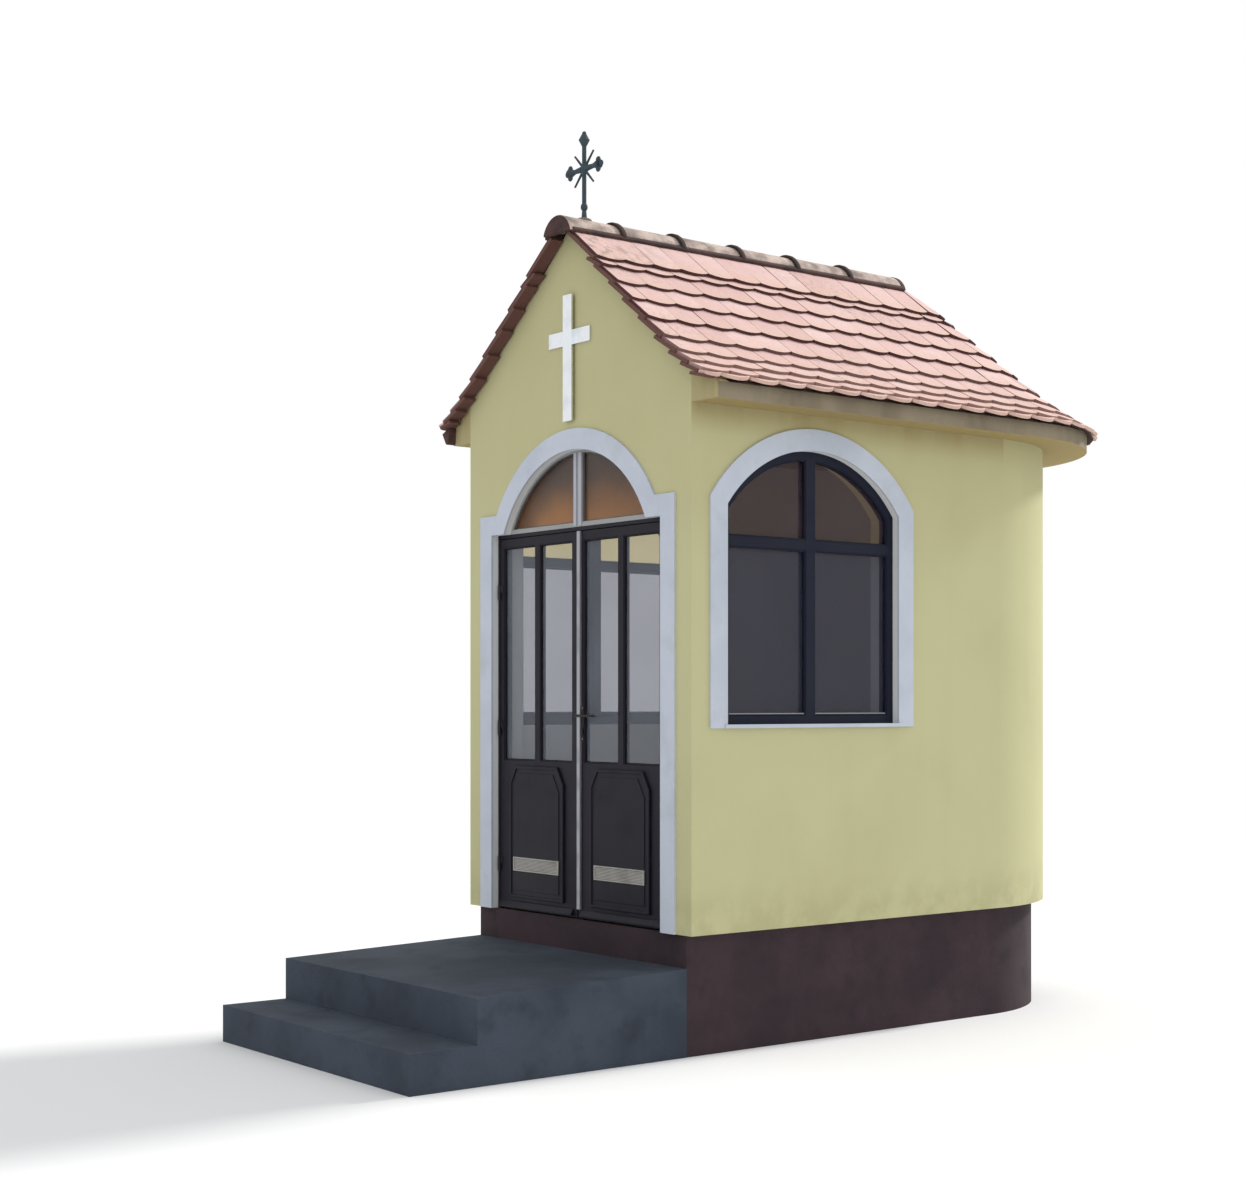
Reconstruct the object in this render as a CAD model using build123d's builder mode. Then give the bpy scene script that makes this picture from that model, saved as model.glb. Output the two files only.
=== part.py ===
"""A small rendered wayside chapel with a round back, a tiled bell-cast roof and a glazed double door.

X runs to the right seen from the door, Y from the door towards the round back, Z up.
The origin is on the ground, in the middle of the walls' plan.  Millimetres.
"""
import os
from math import cos, radians, sin, sqrt

from build123d import *

os.makedirs("parts", exist_ok=True)

# Walls
WALL_WIDTH = 1950           # across the front, over the render
WALL_HEIGHT = 2605          # from the bottom of the render to the eaves slab
WALL_THICK = 200
NAVE_LENGTH = 2230          # from the front face to the centre of the round back
APSE_SEGMENTS = 3           # the round wall is made in equal segments

# Foundation, floor and steps
FLOOR_LEVEL = 600           # bottom of the render above the lowest ground
FOUNDATION_SIDE_INSET = 67  # the foundation stands back under the side walls
FOUNDATION_FRONT_INSET = 25
FLOOR_THICK = 25
LANDING_DROP = 166          # from the render's bottom down to the landing, at the wall
LANDING_FALL = 34           # slope of the landing's top, for rain
LANDING_DEPTH = 1200
STEP_DROP = 212             # from the landing's front edge down to the lower step
STEP_DEPTH = 360

# Doorway and fanlight
DOOR_WIDTH = 1492
DOOR_LINTEL = 540           # wall over the square corners of the doorway
FAN_SHOULDER = 118          # the fanlight is narrower than the doorway by this at each side
FAN_RISE = 403              # from the doorway's head to the fanlight's crown
BAND_WIDTH = 110            # flat raised band round the door and the windows
BAND_PROUD = 12
BAND_SHOULDER = 107         # the band's square shoulders over the doorway's head

# Side windows
WINDOW_CENTRE = 822         # behind the front face
WINDOW_WIDTH = 1196
WINDOW_SILL = 1012          # above the bottom of the render
WINDOW_LINTEL = 484         # wall over the upper corners of the window
WINDOW_RISE = 304           # from the upper corners to the crown
WINDOW_RECESS = 35
WINDOW_FRAME_DEPTH = 60
WINDOW_FRAME_WIDTH = 42
WINDOW_RAIL = 60
WINDOW_MULLION = 60
TRANSOM_DROP = 151          # from the window's upper corners down to the transom
TRANSOM_HEIGHT = 52
SILL_STRIP = 18             # thin sill that closes the band at the bottom
SILL_PROUD = 24
SILL_LAP = 20               # the sill's nosing runs over the band at both ends
GLASS_THICK = 5

# Eaves slab and gable
EAVES_PROJECTION = 175
EAVES_THICK = 100
GABLE_SKIN = 20             # render in front of the eaves slab's end

# Roof
ROOF_SETBACK = 120          # the cone's axis stands behind the centre of the round wall
ROOF_PITCH = 0.875          # rise over run of the straight part
ROOF_HEEL = 233             # top of the straight slope above the wall's top, over the wall's face
ROOF_BUILD = 70             # tiles, battens and boards, measured upright
TOP_BEND = 175              # the top surface starts to flatten this far inside the wall's face
SOFFIT_BEND = 224           # the same for the underside
SOFFIT_STOP = 20            # the underside meets the slab this far inside its edge
EAVE_OVERHANG = 75          # tips of the lowest tiles past the slab's edge
EAVE_SAG = 20               # tips of the lowest tiles below the slab's top
EAVE_TIP_DROP = 38
EAVE_TIP_SLANT = 8
EAVE_GAP = 1
VERGE_OVERHANG = 80
RIDGE_CUT = 40              # level bed under the ridge tiles, below the point of the slopes
RIDGE_RISE = 35             # top of the ridge tiles above that bed
RIDGE_WIDTH = 260
RIDGE_THICK = 25
RIDGE_NOSE = 28             # the first ridge tile past the verge
RIDGE_TAIL = 81             # the last ridge tile past the cone's axis

# Door joinery
FRAME_RECESS = 34
FRAME_DEPTH = 70
FRAME_JAMB = 22
FRAME_HEAD = 20
FRAME_STOP = 14
FRAME_SILL = 12
RUN_GAP = 5                 # between a leaf and the frame
MEETING_GAP = 10            # between the two leaves
LEAF_THICK = 40
LEAF_BOTTOM = 8
LEAF_TOP_RAIL = 47
LEAF_STILE_OUTER = 32
LEAF_STILE_INNER = 46
LEAF_MUNTIN = 44
PANE_SILL = 822             # above the bottom of the render
PANEL_PROUD = 8
PANEL_INNER_MARGIN = 120
PANEL_OUTER_MARGIN = 109
PANEL_BOTTOM_MARGIN = 70
PANEL_TOP_MARGIN = 35
PANEL_CUT_WIDTH = 55        # cut-off upper corners of the raised panels
PANEL_CUT_HEIGHT = 95
VENT_WIDTH = 420
VENT_HEIGHT = 76
VENT_CENTRE = 256           # above the bottom of the render
VENT_PROUD = 6
ASTRAGAL_WIDTH = 26
ASTRAGAL_PROUD = 12
ASTRAGAL_STOP = 45          # the strip ends this far above the foot of the leaf

# Fanlight frame
FAN_RIM = 12
FAN_RAIL = 24
FAN_MULLION = 72
FAN_FRAME_DEPTH = 40

# Hinges
PIN_RADIUS = 4
PIN_CLEARANCE = 0.05
PIN_SHORTFALL = 5           # the pin ends this far below the top of the knuckle
PIN_STANDOFF = 10           # the pin's axis in front of the leaf's face
KNUCKLE_RADIUS = 8
KNUCKLE_LENGTH = 40
KNUCKLE_GAP = 0.3
HINGE_PLATE_REACH = 22
HINGE_PLATE_THICK = 5
HINGE_LOW = 250             # lowest hinge above the bottom of the render
HINGE_HIGH = 315            # highest hinge below the doorway's head

# Lock plate and lever handle
HANDLE_HEIGHT = 1070        # above the bottom of the render
LOCK_PLATE_WIDTH = 22
LOCK_PLATE_HEIGHT = 190
LOCK_PLATE_THICK = 4
LOCK_PLATE_GAP = 1          # beside the cover strip
LOCK_DROP = 82              # middle of the lock's cylinder below the handle
LOCK_CYLINDER_WIDTH = 16
LOCK_CYLINDER_HEIGHT = 40
LOCK_CYLINDER_PROUD = 6
HANDLE_CLEARANCE = 0.2
HANDLE_STANDOFF = 42
HANDLE_REACH = 150
SPINDLE_RADIUS = 7
LEVER_RADIUS = 8

# Flat cross on the gable
GABLE_CROSS_FOOT = 13       # above the eaves slab's underside
GABLE_CROSS_HEIGHT = 665
GABLE_CROSS_WIDTH = 362
GABLE_CROSS_ARM = 440       # the arms' middle above the foot
GABLE_CROSS_SHIFT = 18      # the cross hangs this far left of the middle
GABLE_CROSS_BAR = 78
GABLE_CROSS_THICK = 12

# Iron cross on the ridge
FINIAL_BACK = 75            # behind the front face
FINIAL_HEIGHT = 469
FINIAL_WIDTH = 328
FINIAL_ARM = 270            # the arms' middle above the ridge tiles
FINIAL_BAR = 26
FINIAL_THICK = 10
FINIAL_LOBE = 18            # radius of the three lobes at each arm's end
FINIAL_LOBE_STEP = 23
FINIAL_RAY = 118
FINIAL_RAY_WIDTH = 11
FINIAL_SPEAR_WIDTH = 62
FINIAL_SPEAR_HEIGHT = 85
FINIAL_KNOP = 68            # the knop's middle above the ridge tiles
FINIAL_KNOP_RADIUS = 20

# Altar inside
ALTAR_WIDTH = 1120
ALTAR_FRONT = 1450          # behind the front face
ALTAR_DEPTH = 650
ALTAR_HEIGHT = 990
CLOTH_THICK = 6
CLOTH_CLEARANCE = 0.3
CLOTH_HEM = 120             # the cloth ends this far above the bottom of the render

# Places worked out from the sizes
HALF = WALL_WIDTH / 2
INNER_HALF = HALF - WALL_THICK
FRONT = -(NAVE_LENGTH + HALF) / 2
APSE_Y = FRONT + NAVE_LENGTH
ROOF_Y = APSE_Y + ROOF_SETBACK
WALL_TOP = FLOOR_LEVEL + WALL_HEIGHT
EAVES_HALF = HALF + EAVES_PROJECTION
EAVES_TOP = WALL_TOP + EAVES_THICK
DOOR_HALF = DOOR_WIDTH / 2
DOOR_TOP = WALL_TOP - DOOR_LINTEL
FAN_HALF = DOOR_HALF - FAN_SHOULDER
WINDOW_Y = FRONT + WINDOW_CENTRE
WINDOW_HALF = WINDOW_WIDTH / 2
WINDOW_FRONT = WINDOW_Y - WINDOW_HALF
WINDOW_BACK = WINDOW_Y + WINDOW_HALF
WINDOW_SILL_Z = FLOOR_LEVEL + WINDOW_SILL
WINDOW_TOP = WALL_TOP - WINDOW_LINTEL
JAMB_X = DOOR_HALF - FRAME_JAMB
LEAF_INNER = MEETING_GAP / 2
LEAF_EDGE = JAMB_X - RUN_GAP
LEAF_FACE = FRONT + FRAME_RECESS
HEAD_Z = DOOR_TOP - FRAME_HEAD
LEAF_LOW = FLOOR_LEVEL + LEAF_BOTTOM
LEAF_TOP = HEAD_Z - RUN_GAP


def save(piece, name):
    """Label a finished piece and write it to its own file."""
    piece.part.label = name
    export_step(piece.part, f"parts/{name}.step")


def front_plane(y):
    """Upright plane across the building: local x is X, local y is Z, normal towards the viewer."""
    return Plane(origin=(0, y, 0), x_dir=(1, 0, 0), z_dir=(0, -1, 0))


def side_plane(x):
    """Upright plane along the building: local x is Y, local y is Z, normal towards +X."""
    return Plane(origin=(x, 0, 0), x_dir=(0, 1, 0), z_dir=(1, 0, 0))


def sector_plane(centre_y, angle):
    """Upright plane through the round end's axis: local x points out at the given angle from +X."""
    out = (cos(radians(angle)), sin(radians(angle)), 0)
    side = (sin(radians(angle)), -cos(radians(angle)), 0)
    return Plane(origin=(0, centre_y, 0), x_dir=out, z_dir=side)


def arc_radius(half_width, rise):
    """Radius of a segmental arch."""
    return (half_width**2 + rise**2) / (2 * rise)


def half_width_at(radius, centre_z, z):
    """Half width of a circle at height z."""
    return sqrt(radius**2 - (z - centre_z)**2)


def arched_face(middle, half_width, bottom, centre_z, radius):
    """Face with a level bottom, upright sides and a round head of the given circle."""
    spring = centre_z + sqrt(radius**2 - half_width**2)
    with BuildSketch() as face:
        with BuildLine():
            Polyline((middle - half_width, spring), (middle - half_width, bottom),
                     (middle + half_width, bottom), (middle + half_width, spring))
            ThreePointArc((middle - half_width, spring), (middle, centre_z + radius),
                          (middle + half_width, spring))
        make_face()
    return face.sketch


def round_head(half_width, bottom, centre_z, radius):
    """Face under a circle's top and over a level chord of the given half width."""
    with BuildSketch() as face:
        with BuildLine():
            Line((-half_width, bottom), (half_width, bottom))
            ThreePointArc((half_width, bottom), (0, centre_z + radius), (-half_width, bottom))
        make_face()
    return face.sketch


def plan_outline(front_y, centre_y, half_width):
    """Plan with a straight front, straight sides and a half-round back."""
    with BuildSketch() as plan:
        with BuildLine():
            Polyline((-half_width, centre_y), (-half_width, front_y),
                     (half_width, front_y), (half_width, centre_y))
            ThreePointArc((half_width, centre_y), (0, centre_y + half_width), (-half_width, centre_y))
        make_face()
    return plan.sketch


FAN_RADIUS = arc_radius(FAN_HALF, FAN_RISE)
FAN_ARC_Z = DOOR_TOP + FAN_RISE - FAN_RADIUS
WINDOW_RADIUS = arc_radius(WINDOW_HALF, WINDOW_RISE)
WINDOW_ARC_Z = WINDOW_TOP + WINDOW_RISE - WINDOW_RADIUS

# Foundation, floor and the entrance steps
with BuildPart() as foundation:
    with BuildSketch():
        add(plan_outline(FRONT + FOUNDATION_FRONT_INSET, APSE_Y, HALF - FOUNDATION_SIDE_INSET))
    extrude(amount=FLOOR_LEVEL)
save(foundation, "foundation")

with BuildPart() as floor_slab:
    with BuildSketch(Plane.XY.offset(FLOOR_LEVEL)):
        add(plan_outline(FRONT + WALL_THICK, APSE_Y, INNER_HALF))
    extrude(amount=FLOOR_THICK)
save(floor_slab, "floor_slab")

STEPS_BACK_Y = FRONT + FOUNDATION_FRONT_INSET
LANDING_FRONT_Y = FRONT - LANDING_DEPTH
STEP_FRONT_Y = LANDING_FRONT_Y - STEP_DEPTH
STEPS_HALF = HALF - FOUNDATION_SIDE_INSET
LANDING_TOP = FLOOR_LEVEL - LANDING_DROP
LANDING_EDGE_Z = LANDING_TOP - LANDING_FALL
STEP_TOP = LANDING_EDGE_Z - STEP_DROP

with BuildPart() as entrance_steps:
    with BuildSketch(side_plane(STEPS_HALF)):
        with BuildLine():
            Polyline((STEPS_BACK_Y, 0), (STEPS_BACK_Y, LANDING_TOP), (LANDING_FRONT_Y, LANDING_EDGE_Z),
                     (LANDING_FRONT_Y, STEP_TOP), (STEP_FRONT_Y, STEP_TOP), (STEP_FRONT_Y, 0), close=True)
        make_face()
    extrude(amount=-2 * STEPS_HALF)
save(entrance_steps, "entrance_steps")

# Front wall: two corner piers and the head with the fanlight's arch
with BuildPart() as front_wall_right:
    with BuildSketch(Plane.XY.offset(FLOOR_LEVEL)):
        with BuildLine():
            Polyline((DOOR_HALF, FRONT), (HALF, FRONT), (HALF, WINDOW_FRONT), (INNER_HALF, WINDOW_FRONT),
                     (INNER_HALF, FRONT + WALL_THICK), (DOOR_HALF, FRONT + WALL_THICK), close=True)
        make_face()
    extrude(amount=WALL_HEIGHT)
save(front_wall_right, "front_wall_right")

with BuildPart() as front_wall_head:
    with BuildSketch(front_plane(FRONT)):
        with Locations((0, DOOR_TOP)):
            Rectangle(DOOR_WIDTH, DOOR_LINTEL, align=(Align.CENTER, Align.MIN))
        add(round_head(FAN_HALF, DOOR_TOP, FAN_ARC_Z, FAN_RADIUS), mode=Mode.SUBTRACT)
    extrude(amount=-WALL_THICK)
save(front_wall_head, "front_wall_head")

# Side walls: below, behind and over each window
with BuildPart() as right_wall_sill:
    with BuildSketch(side_plane(HALF)):
        with Locations((WINDOW_Y, FLOOR_LEVEL)):
            Rectangle(WINDOW_WIDTH, WINDOW_SILL, align=(Align.CENTER, Align.MIN))
    extrude(amount=-WALL_THICK)
save(right_wall_sill, "right_wall_sill")

with BuildPart() as right_wall_rear:
    with BuildSketch(side_plane(HALF)):
        with Locations((WINDOW_BACK, FLOOR_LEVEL)):
            Rectangle(APSE_Y - WINDOW_BACK, WALL_HEIGHT, align=(Align.MIN, Align.MIN))
    extrude(amount=-WALL_THICK)
save(right_wall_rear, "right_wall_rear")

with BuildPart() as right_wall_head:
    with BuildSketch(side_plane(HALF)):
        with Locations((WINDOW_Y, WINDOW_TOP)):
            Rectangle(WINDOW_WIDTH, WINDOW_LINTEL, align=(Align.CENTER, Align.MIN))
            add(round_head(WINDOW_HALF, 0, WINDOW_ARC_Z - WINDOW_TOP, WINDOW_RADIUS), mode=Mode.SUBTRACT)
    extrude(amount=-WALL_THICK)
save(right_wall_head, "right_wall_head")

for right_piece, left_name in ((front_wall_right, "front_wall_left"), (right_wall_sill, "left_wall_sill"),
                               (right_wall_rear, "left_wall_rear"), (right_wall_head, "left_wall_head")):
    with BuildPart() as left_piece:
        mirror(right_piece.part, about=Plane.YZ)
    save(left_piece, left_name)

# Round back wall
SEGMENT_ANGLE = 180 / APSE_SEGMENTS

for number in range(APSE_SEGMENTS):
    with BuildPart() as apse_wall:
        with BuildSketch(sector_plane(APSE_Y, number * SEGMENT_ANGLE)):
            with Locations((INNER_HALF, FLOOR_LEVEL)):
                Rectangle(WALL_THICK, WALL_HEIGHT, align=(Align.MIN, Align.MIN))
        revolve(axis=Axis((0, APSE_Y, 0), (0, 0, 1)), revolution_arc=SEGMENT_ANGLE)
    save(apse_wall, f"apse_wall_{number + 1}")

# Eaves slab
with BuildPart() as eaves_slab:
    with BuildSketch(Plane.XY.offset(WALL_TOP)):
        add(plan_outline(FRONT + GABLE_SKIN, ROOF_Y, EAVES_HALF))
    extrude(amount=EAVES_THICK)
save(eaves_slab, "eaves_slab")

# Roof slopes
SLOPE_DIRECTION = (1, -ROOF_PITCH)
TOP_BEND_X = HALF - TOP_BEND
SOFFIT_BEND_X = HALF - SOFFIT_BEND
SOFFIT_END_X = EAVES_HALF - SOFFIT_STOP
EAVE_X = EAVES_HALF + EAVE_OVERHANG
EAVE_Z = EAVES_TOP - EAVE_SAG
VERGE_Y = FRONT - VERGE_OVERHANG


def slope_z(x, drop=0.0):
    """Height of the straight slope's top surface, or of a surface a drop below it."""
    return WALL_TOP + ROOF_HEEL + ROOF_PITCH * (HALF - x) - drop


BED_Z = slope_z(0, RIDGE_CUT)
BED_X = RIDGE_CUT / ROOF_PITCH


def roof_section():
    """Half section through the roof covering: local x out from the middle, local y up."""
    apex = (0, slope_z(0, ROOF_BUILD))
    top_bend = (TOP_BEND_X, slope_z(TOP_BEND_X))
    low_bend = (SOFFIT_BEND_X, slope_z(SOFFIT_BEND_X, ROOF_BUILD))
    tip = (EAVE_X, EAVE_Z)
    tip_low = (EAVE_X - EAVE_TIP_SLANT, EAVE_Z - EAVE_TIP_DROP)
    nib_x = EAVES_HALF + EAVE_GAP
    soffit_end = (SOFFIT_END_X, EAVES_TOP)
    with BuildSketch() as section:
        with BuildLine():
            Polyline(apex, (0, BED_Z), (BED_X, BED_Z), top_bend)
            TangentArc(top_bend, tip, tangent=SLOPE_DIRECTION)
            Polyline(tip, tip_low, (nib_x, EAVE_Z - EAVE_TIP_DROP / 2), (nib_x, EAVES_TOP), soffit_end)
            TangentArc(low_bend, soffit_end, tangent=SLOPE_DIRECTION)
            Line(low_bend, apex)
        make_face()
    return section.sketch


with BuildPart() as roof_right:
    with BuildSketch(front_plane(VERGE_Y)):
        add(roof_section())
    extrude(amount=-(ROOF_Y - VERGE_Y))
save(roof_right, "roof_right")

with BuildPart() as roof_left:
    mirror(roof_right.part, about=Plane.YZ)
save(roof_left, "roof_left")

for angle, name in ((0, "roof_apse_right"), (90, "roof_apse_left")):
    with BuildPart() as roof_apse:
        with BuildSketch(sector_plane(ROOF_Y, angle)):
            add(roof_section())
        revolve(axis=Axis((0, ROOF_Y, 0), (0, 0, 1)), revolution_arc=90)
    save(roof_apse, name)

# Gable under the roof's front edge, hung over the eaves slab's end
with BuildPart() as front_gable:
    with BuildSketch(front_plane(FRONT)):
        with BuildLine():
            right_bend = (SOFFIT_BEND_X, slope_z(SOFFIT_BEND_X, ROOF_BUILD))
            left_bend = (-SOFFIT_BEND_X, right_bend[1])
            Polyline(left_bend, (0, slope_z(0, ROOF_BUILD)), right_bend)
            TangentArc(right_bend, (SOFFIT_END_X, EAVES_TOP), tangent=SLOPE_DIRECTION)
            Polyline((SOFFIT_END_X, EAVES_TOP), (EAVES_HALF, EAVES_TOP), (EAVES_HALF, WALL_TOP),
                     (-EAVES_HALF, WALL_TOP), (-EAVES_HALF, EAVES_TOP), (-SOFFIT_END_X, EAVES_TOP))
            TangentArc(left_bend, (-SOFFIT_END_X, EAVES_TOP), tangent=(-1, -ROOF_PITCH))
        make_face()
    extrude(amount=-WALL_THICK)
    with Locations((0, FRONT + GABLE_SKIN, WALL_TOP)):
        Box(2 * EAVES_HALF, WALL_THICK, EAVES_THICK, align=(Align.CENTER, Align.MIN, Align.MIN),
            mode=Mode.SUBTRACT)
save(front_gable, "front_gable")

# Ridge tiles as one cap, bedded on the roof
RIDGE_HALF = RIDGE_WIDTH / 2
RIDGE_EDGE_Z = slope_z(RIDGE_HALF)
RIDGE_TOP_Z = BED_Z + RIDGE_RISE
RIDGE_START = VERGE_Y - RIDGE_NOSE
RIDGE_END = ROOF_Y + RIDGE_TAIL

with BuildPart() as ridge_cap:
    with BuildSketch(front_plane(RIDGE_START)):
        with BuildLine():
            Polyline((-RIDGE_HALF, RIDGE_EDGE_Z + RIDGE_THICK), (-RIDGE_HALF, RIDGE_EDGE_Z),
                     (-BED_X, BED_Z), (BED_X, BED_Z),
                     (RIDGE_HALF, RIDGE_EDGE_Z), (RIDGE_HALF, RIDGE_EDGE_Z + RIDGE_THICK))
            ThreePointArc((-RIDGE_HALF, RIDGE_EDGE_Z + RIDGE_THICK), (0, RIDGE_TOP_Z),
                          (RIDGE_HALF, RIDGE_EDGE_Z + RIDGE_THICK))
        make_face()
    extrude(amount=-(RIDGE_END - RIDGE_START))
save(ridge_cap, "ridge_cap")

# Iron cross on the ridge
FINIAL_Y = FRONT + FINIAL_BACK
FINIAL_TIP_Z = RIDGE_TOP_Z + FINIAL_HEIGHT
FINIAL_ARM_Z = RIDGE_TOP_Z + FINIAL_ARM
SPEAR_FOOT_Z = FINIAL_TIP_Z - FINIAL_SPEAR_HEIGHT
SPEAR_SHOULDER_Z = FINIAL_TIP_Z - FINIAL_SPEAR_HEIGHT / 2
LOBE_X = FINIAL_WIDTH / 2 - FINIAL_LOBE

with BuildPart() as finial_cross:
    with BuildSketch(front_plane(FINIAL_Y - FINIAL_THICK / 2)):
        with Locations((0, RIDGE_TOP_Z)):
            Rectangle(FINIAL_BAR, SPEAR_FOOT_Z - RIDGE_TOP_Z, align=(Align.CENTER, Align.MIN))
        with Locations((0, FINIAL_ARM_Z)):
            Rectangle(2 * LOBE_X, FINIAL_BAR)
            Circle(FINIAL_BAR)
        for side in (-1, 1):
            with Locations((side * LOBE_X, FINIAL_ARM_Z),
                           (side * (LOBE_X - FINIAL_LOBE_STEP), FINIAL_ARM_Z + FINIAL_LOBE_STEP),
                           (side * (LOBE_X - FINIAL_LOBE_STEP), FINIAL_ARM_Z - FINIAL_LOBE_STEP)):
                Circle(FINIAL_LOBE)
        for turn in (45, 135, 225, 315):
            with Locations(Location((0, FINIAL_ARM_Z), turn)):
                Rectangle(FINIAL_RAY, FINIAL_RAY_WIDTH, align=(Align.MIN, Align.CENTER))
        with BuildLine():
            Polyline((0, FINIAL_TIP_Z), (-FINIAL_SPEAR_WIDTH / 2, SPEAR_SHOULDER_Z),
                     (-FINIAL_BAR / 2, SPEAR_FOOT_Z), (FINIAL_BAR / 2, SPEAR_FOOT_Z),
                     (FINIAL_SPEAR_WIDTH / 2, SPEAR_SHOULDER_Z), close=True)
        make_face()
    extrude(amount=-FINIAL_THICK)
    with Locations((0, FINIAL_Y, RIDGE_TOP_Z + FINIAL_KNOP)):
        Sphere(FINIAL_KNOP_RADIUS)
save(finial_cross, "finial_cross")

# Flat cross on the gable: the level bar behind, the upright bar in front
CROSS_FOOT_Z = WALL_TOP + GABLE_CROSS_FOOT

with BuildPart() as gable_cross:
    with Locations((-GABLE_CROSS_SHIFT, FRONT, CROSS_FOOT_Z + GABLE_CROSS_ARM)):
        Box(GABLE_CROSS_WIDTH, GABLE_CROSS_THICK, GABLE_CROSS_BAR,
            align=(Align.CENTER, Align.MAX, Align.CENTER))
    with Locations((-GABLE_CROSS_SHIFT, FRONT - GABLE_CROSS_THICK, CROSS_FOOT_Z)):
        Box(GABLE_CROSS_BAR, GABLE_CROSS_THICK, GABLE_CROSS_HEIGHT,
            align=(Align.CENTER, Align.MAX, Align.MIN))
save(gable_cross, "gable_cross")

# Raised band round the doorway
OUTER_FAN_RADIUS = FAN_RADIUS + BAND_WIDTH
SHOULDER_Z = DOOR_TOP + BAND_SHOULDER

with BuildPart() as door_surround:
    with BuildSketch(front_plane(FRONT)):
        with Locations((0, FLOOR_LEVEL)):
            Rectangle(DOOR_WIDTH + 2 * BAND_WIDTH, SHOULDER_Z - FLOOR_LEVEL, align=(Align.CENTER, Align.MIN))
        arc_half = half_width_at(OUTER_FAN_RADIUS, FAN_ARC_Z, SHOULDER_Z)
        add(round_head(arc_half, SHOULDER_Z, FAN_ARC_Z, OUTER_FAN_RADIUS))
        with Locations((0, FLOOR_LEVEL)):
            Rectangle(DOOR_WIDTH, DOOR_TOP - FLOOR_LEVEL, align=(Align.CENTER, Align.MIN),
                      mode=Mode.SUBTRACT)
        add(round_head(FAN_HALF, DOOR_TOP, FAN_ARC_Z, FAN_RADIUS), mode=Mode.SUBTRACT)
    extrude(amount=BAND_PROUD)
save(door_surround, "door_surround")

# Raised bands round the two windows, closed below by a thin sill
with BuildPart() as window_surrounds:
    with BuildSketch(side_plane(HALF)):
        add(arched_face(WINDOW_Y, WINDOW_HALF + BAND_WIDTH, WINDOW_SILL_Z, WINDOW_ARC_Z,
                        WINDOW_RADIUS + BAND_WIDTH))
        add(arched_face(WINDOW_Y, WINDOW_HALF, WINDOW_SILL_Z, WINDOW_ARC_Z, WINDOW_RADIUS),
            mode=Mode.SUBTRACT)
    extrude(amount=BAND_PROUD)
    with BuildSketch(side_plane(HALF - WINDOW_RECESS)):
        with Locations((WINDOW_Y, WINDOW_SILL_Z)):
            Rectangle(WINDOW_WIDTH, SILL_STRIP, align=(Align.CENTER, Align.MIN))
    extrude(amount=WINDOW_RECESS + BAND_PROUD)
    with BuildSketch(side_plane(HALF + BAND_PROUD)):
        with Locations((WINDOW_Y, WINDOW_SILL_Z)):
            Rectangle(WINDOW_WIDTH + 2 * SILL_LAP, SILL_STRIP, align=(Align.CENTER, Align.MIN))
    extrude(amount=SILL_PROUD - BAND_PROUD)
    mirror(about=Plane.YZ)
save(window_surrounds, "window_surrounds")

# Window frames and panes
FRAME_OUT_X = HALF - WINDOW_RECESS
PANE_X = FRAME_OUT_X - WINDOW_FRAME_DEPTH / 2
TRANSOM_TOP_Z = WINDOW_TOP - TRANSOM_DROP
TRANSOM_Z = TRANSOM_TOP_Z - TRANSOM_HEIGHT


def window_lights():
    """The four glazed areas inside a window frame."""
    with BuildSketch() as lights:
        add(arched_face(WINDOW_Y, WINDOW_HALF - WINDOW_FRAME_WIDTH, WINDOW_SILL_Z + WINDOW_RAIL,
                        WINDOW_ARC_Z, WINDOW_RADIUS - WINDOW_FRAME_WIDTH))
        with Locations((WINDOW_Y, TRANSOM_Z)):
            Rectangle(WINDOW_WIDTH, TRANSOM_HEIGHT, align=(Align.CENTER, Align.MIN), mode=Mode.SUBTRACT)
            Rectangle(WINDOW_MULLION, 2 * WALL_HEIGHT, mode=Mode.SUBTRACT)
    return lights.sketch


with BuildPart() as window_frames:
    with BuildSketch(side_plane(FRAME_OUT_X)):
        add(arched_face(WINDOW_Y, WINDOW_HALF, WINDOW_SILL_Z, WINDOW_ARC_Z, WINDOW_RADIUS))
        add(window_lights(), mode=Mode.SUBTRACT)
    extrude(amount=-WINDOW_FRAME_DEPTH)
    mirror(about=Plane.YZ)
save(window_frames, "window_frames")

for name, side in (("window_glass_upper", Align.MIN), ("window_glass_lower", Align.MAX)):
    with BuildPart() as window_glass:
        with BuildSketch(side_plane(PANE_X)):
            add(window_lights())
            with Locations((WINDOW_Y, TRANSOM_TOP_Z)):
                Rectangle(WINDOW_WIDTH, WALL_HEIGHT, align=(Align.CENTER, side), mode=Mode.INTERSECT)
        extrude(amount=GLASS_THICK)
        mirror(about=Plane.YZ)
    save(window_glass, name)

# Door frame with its stops and sill
STOP_FACE = LEAF_FACE + LEAF_THICK + RUN_GAP
FRAME_BACK = LEAF_FACE + FRAME_DEPTH

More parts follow.
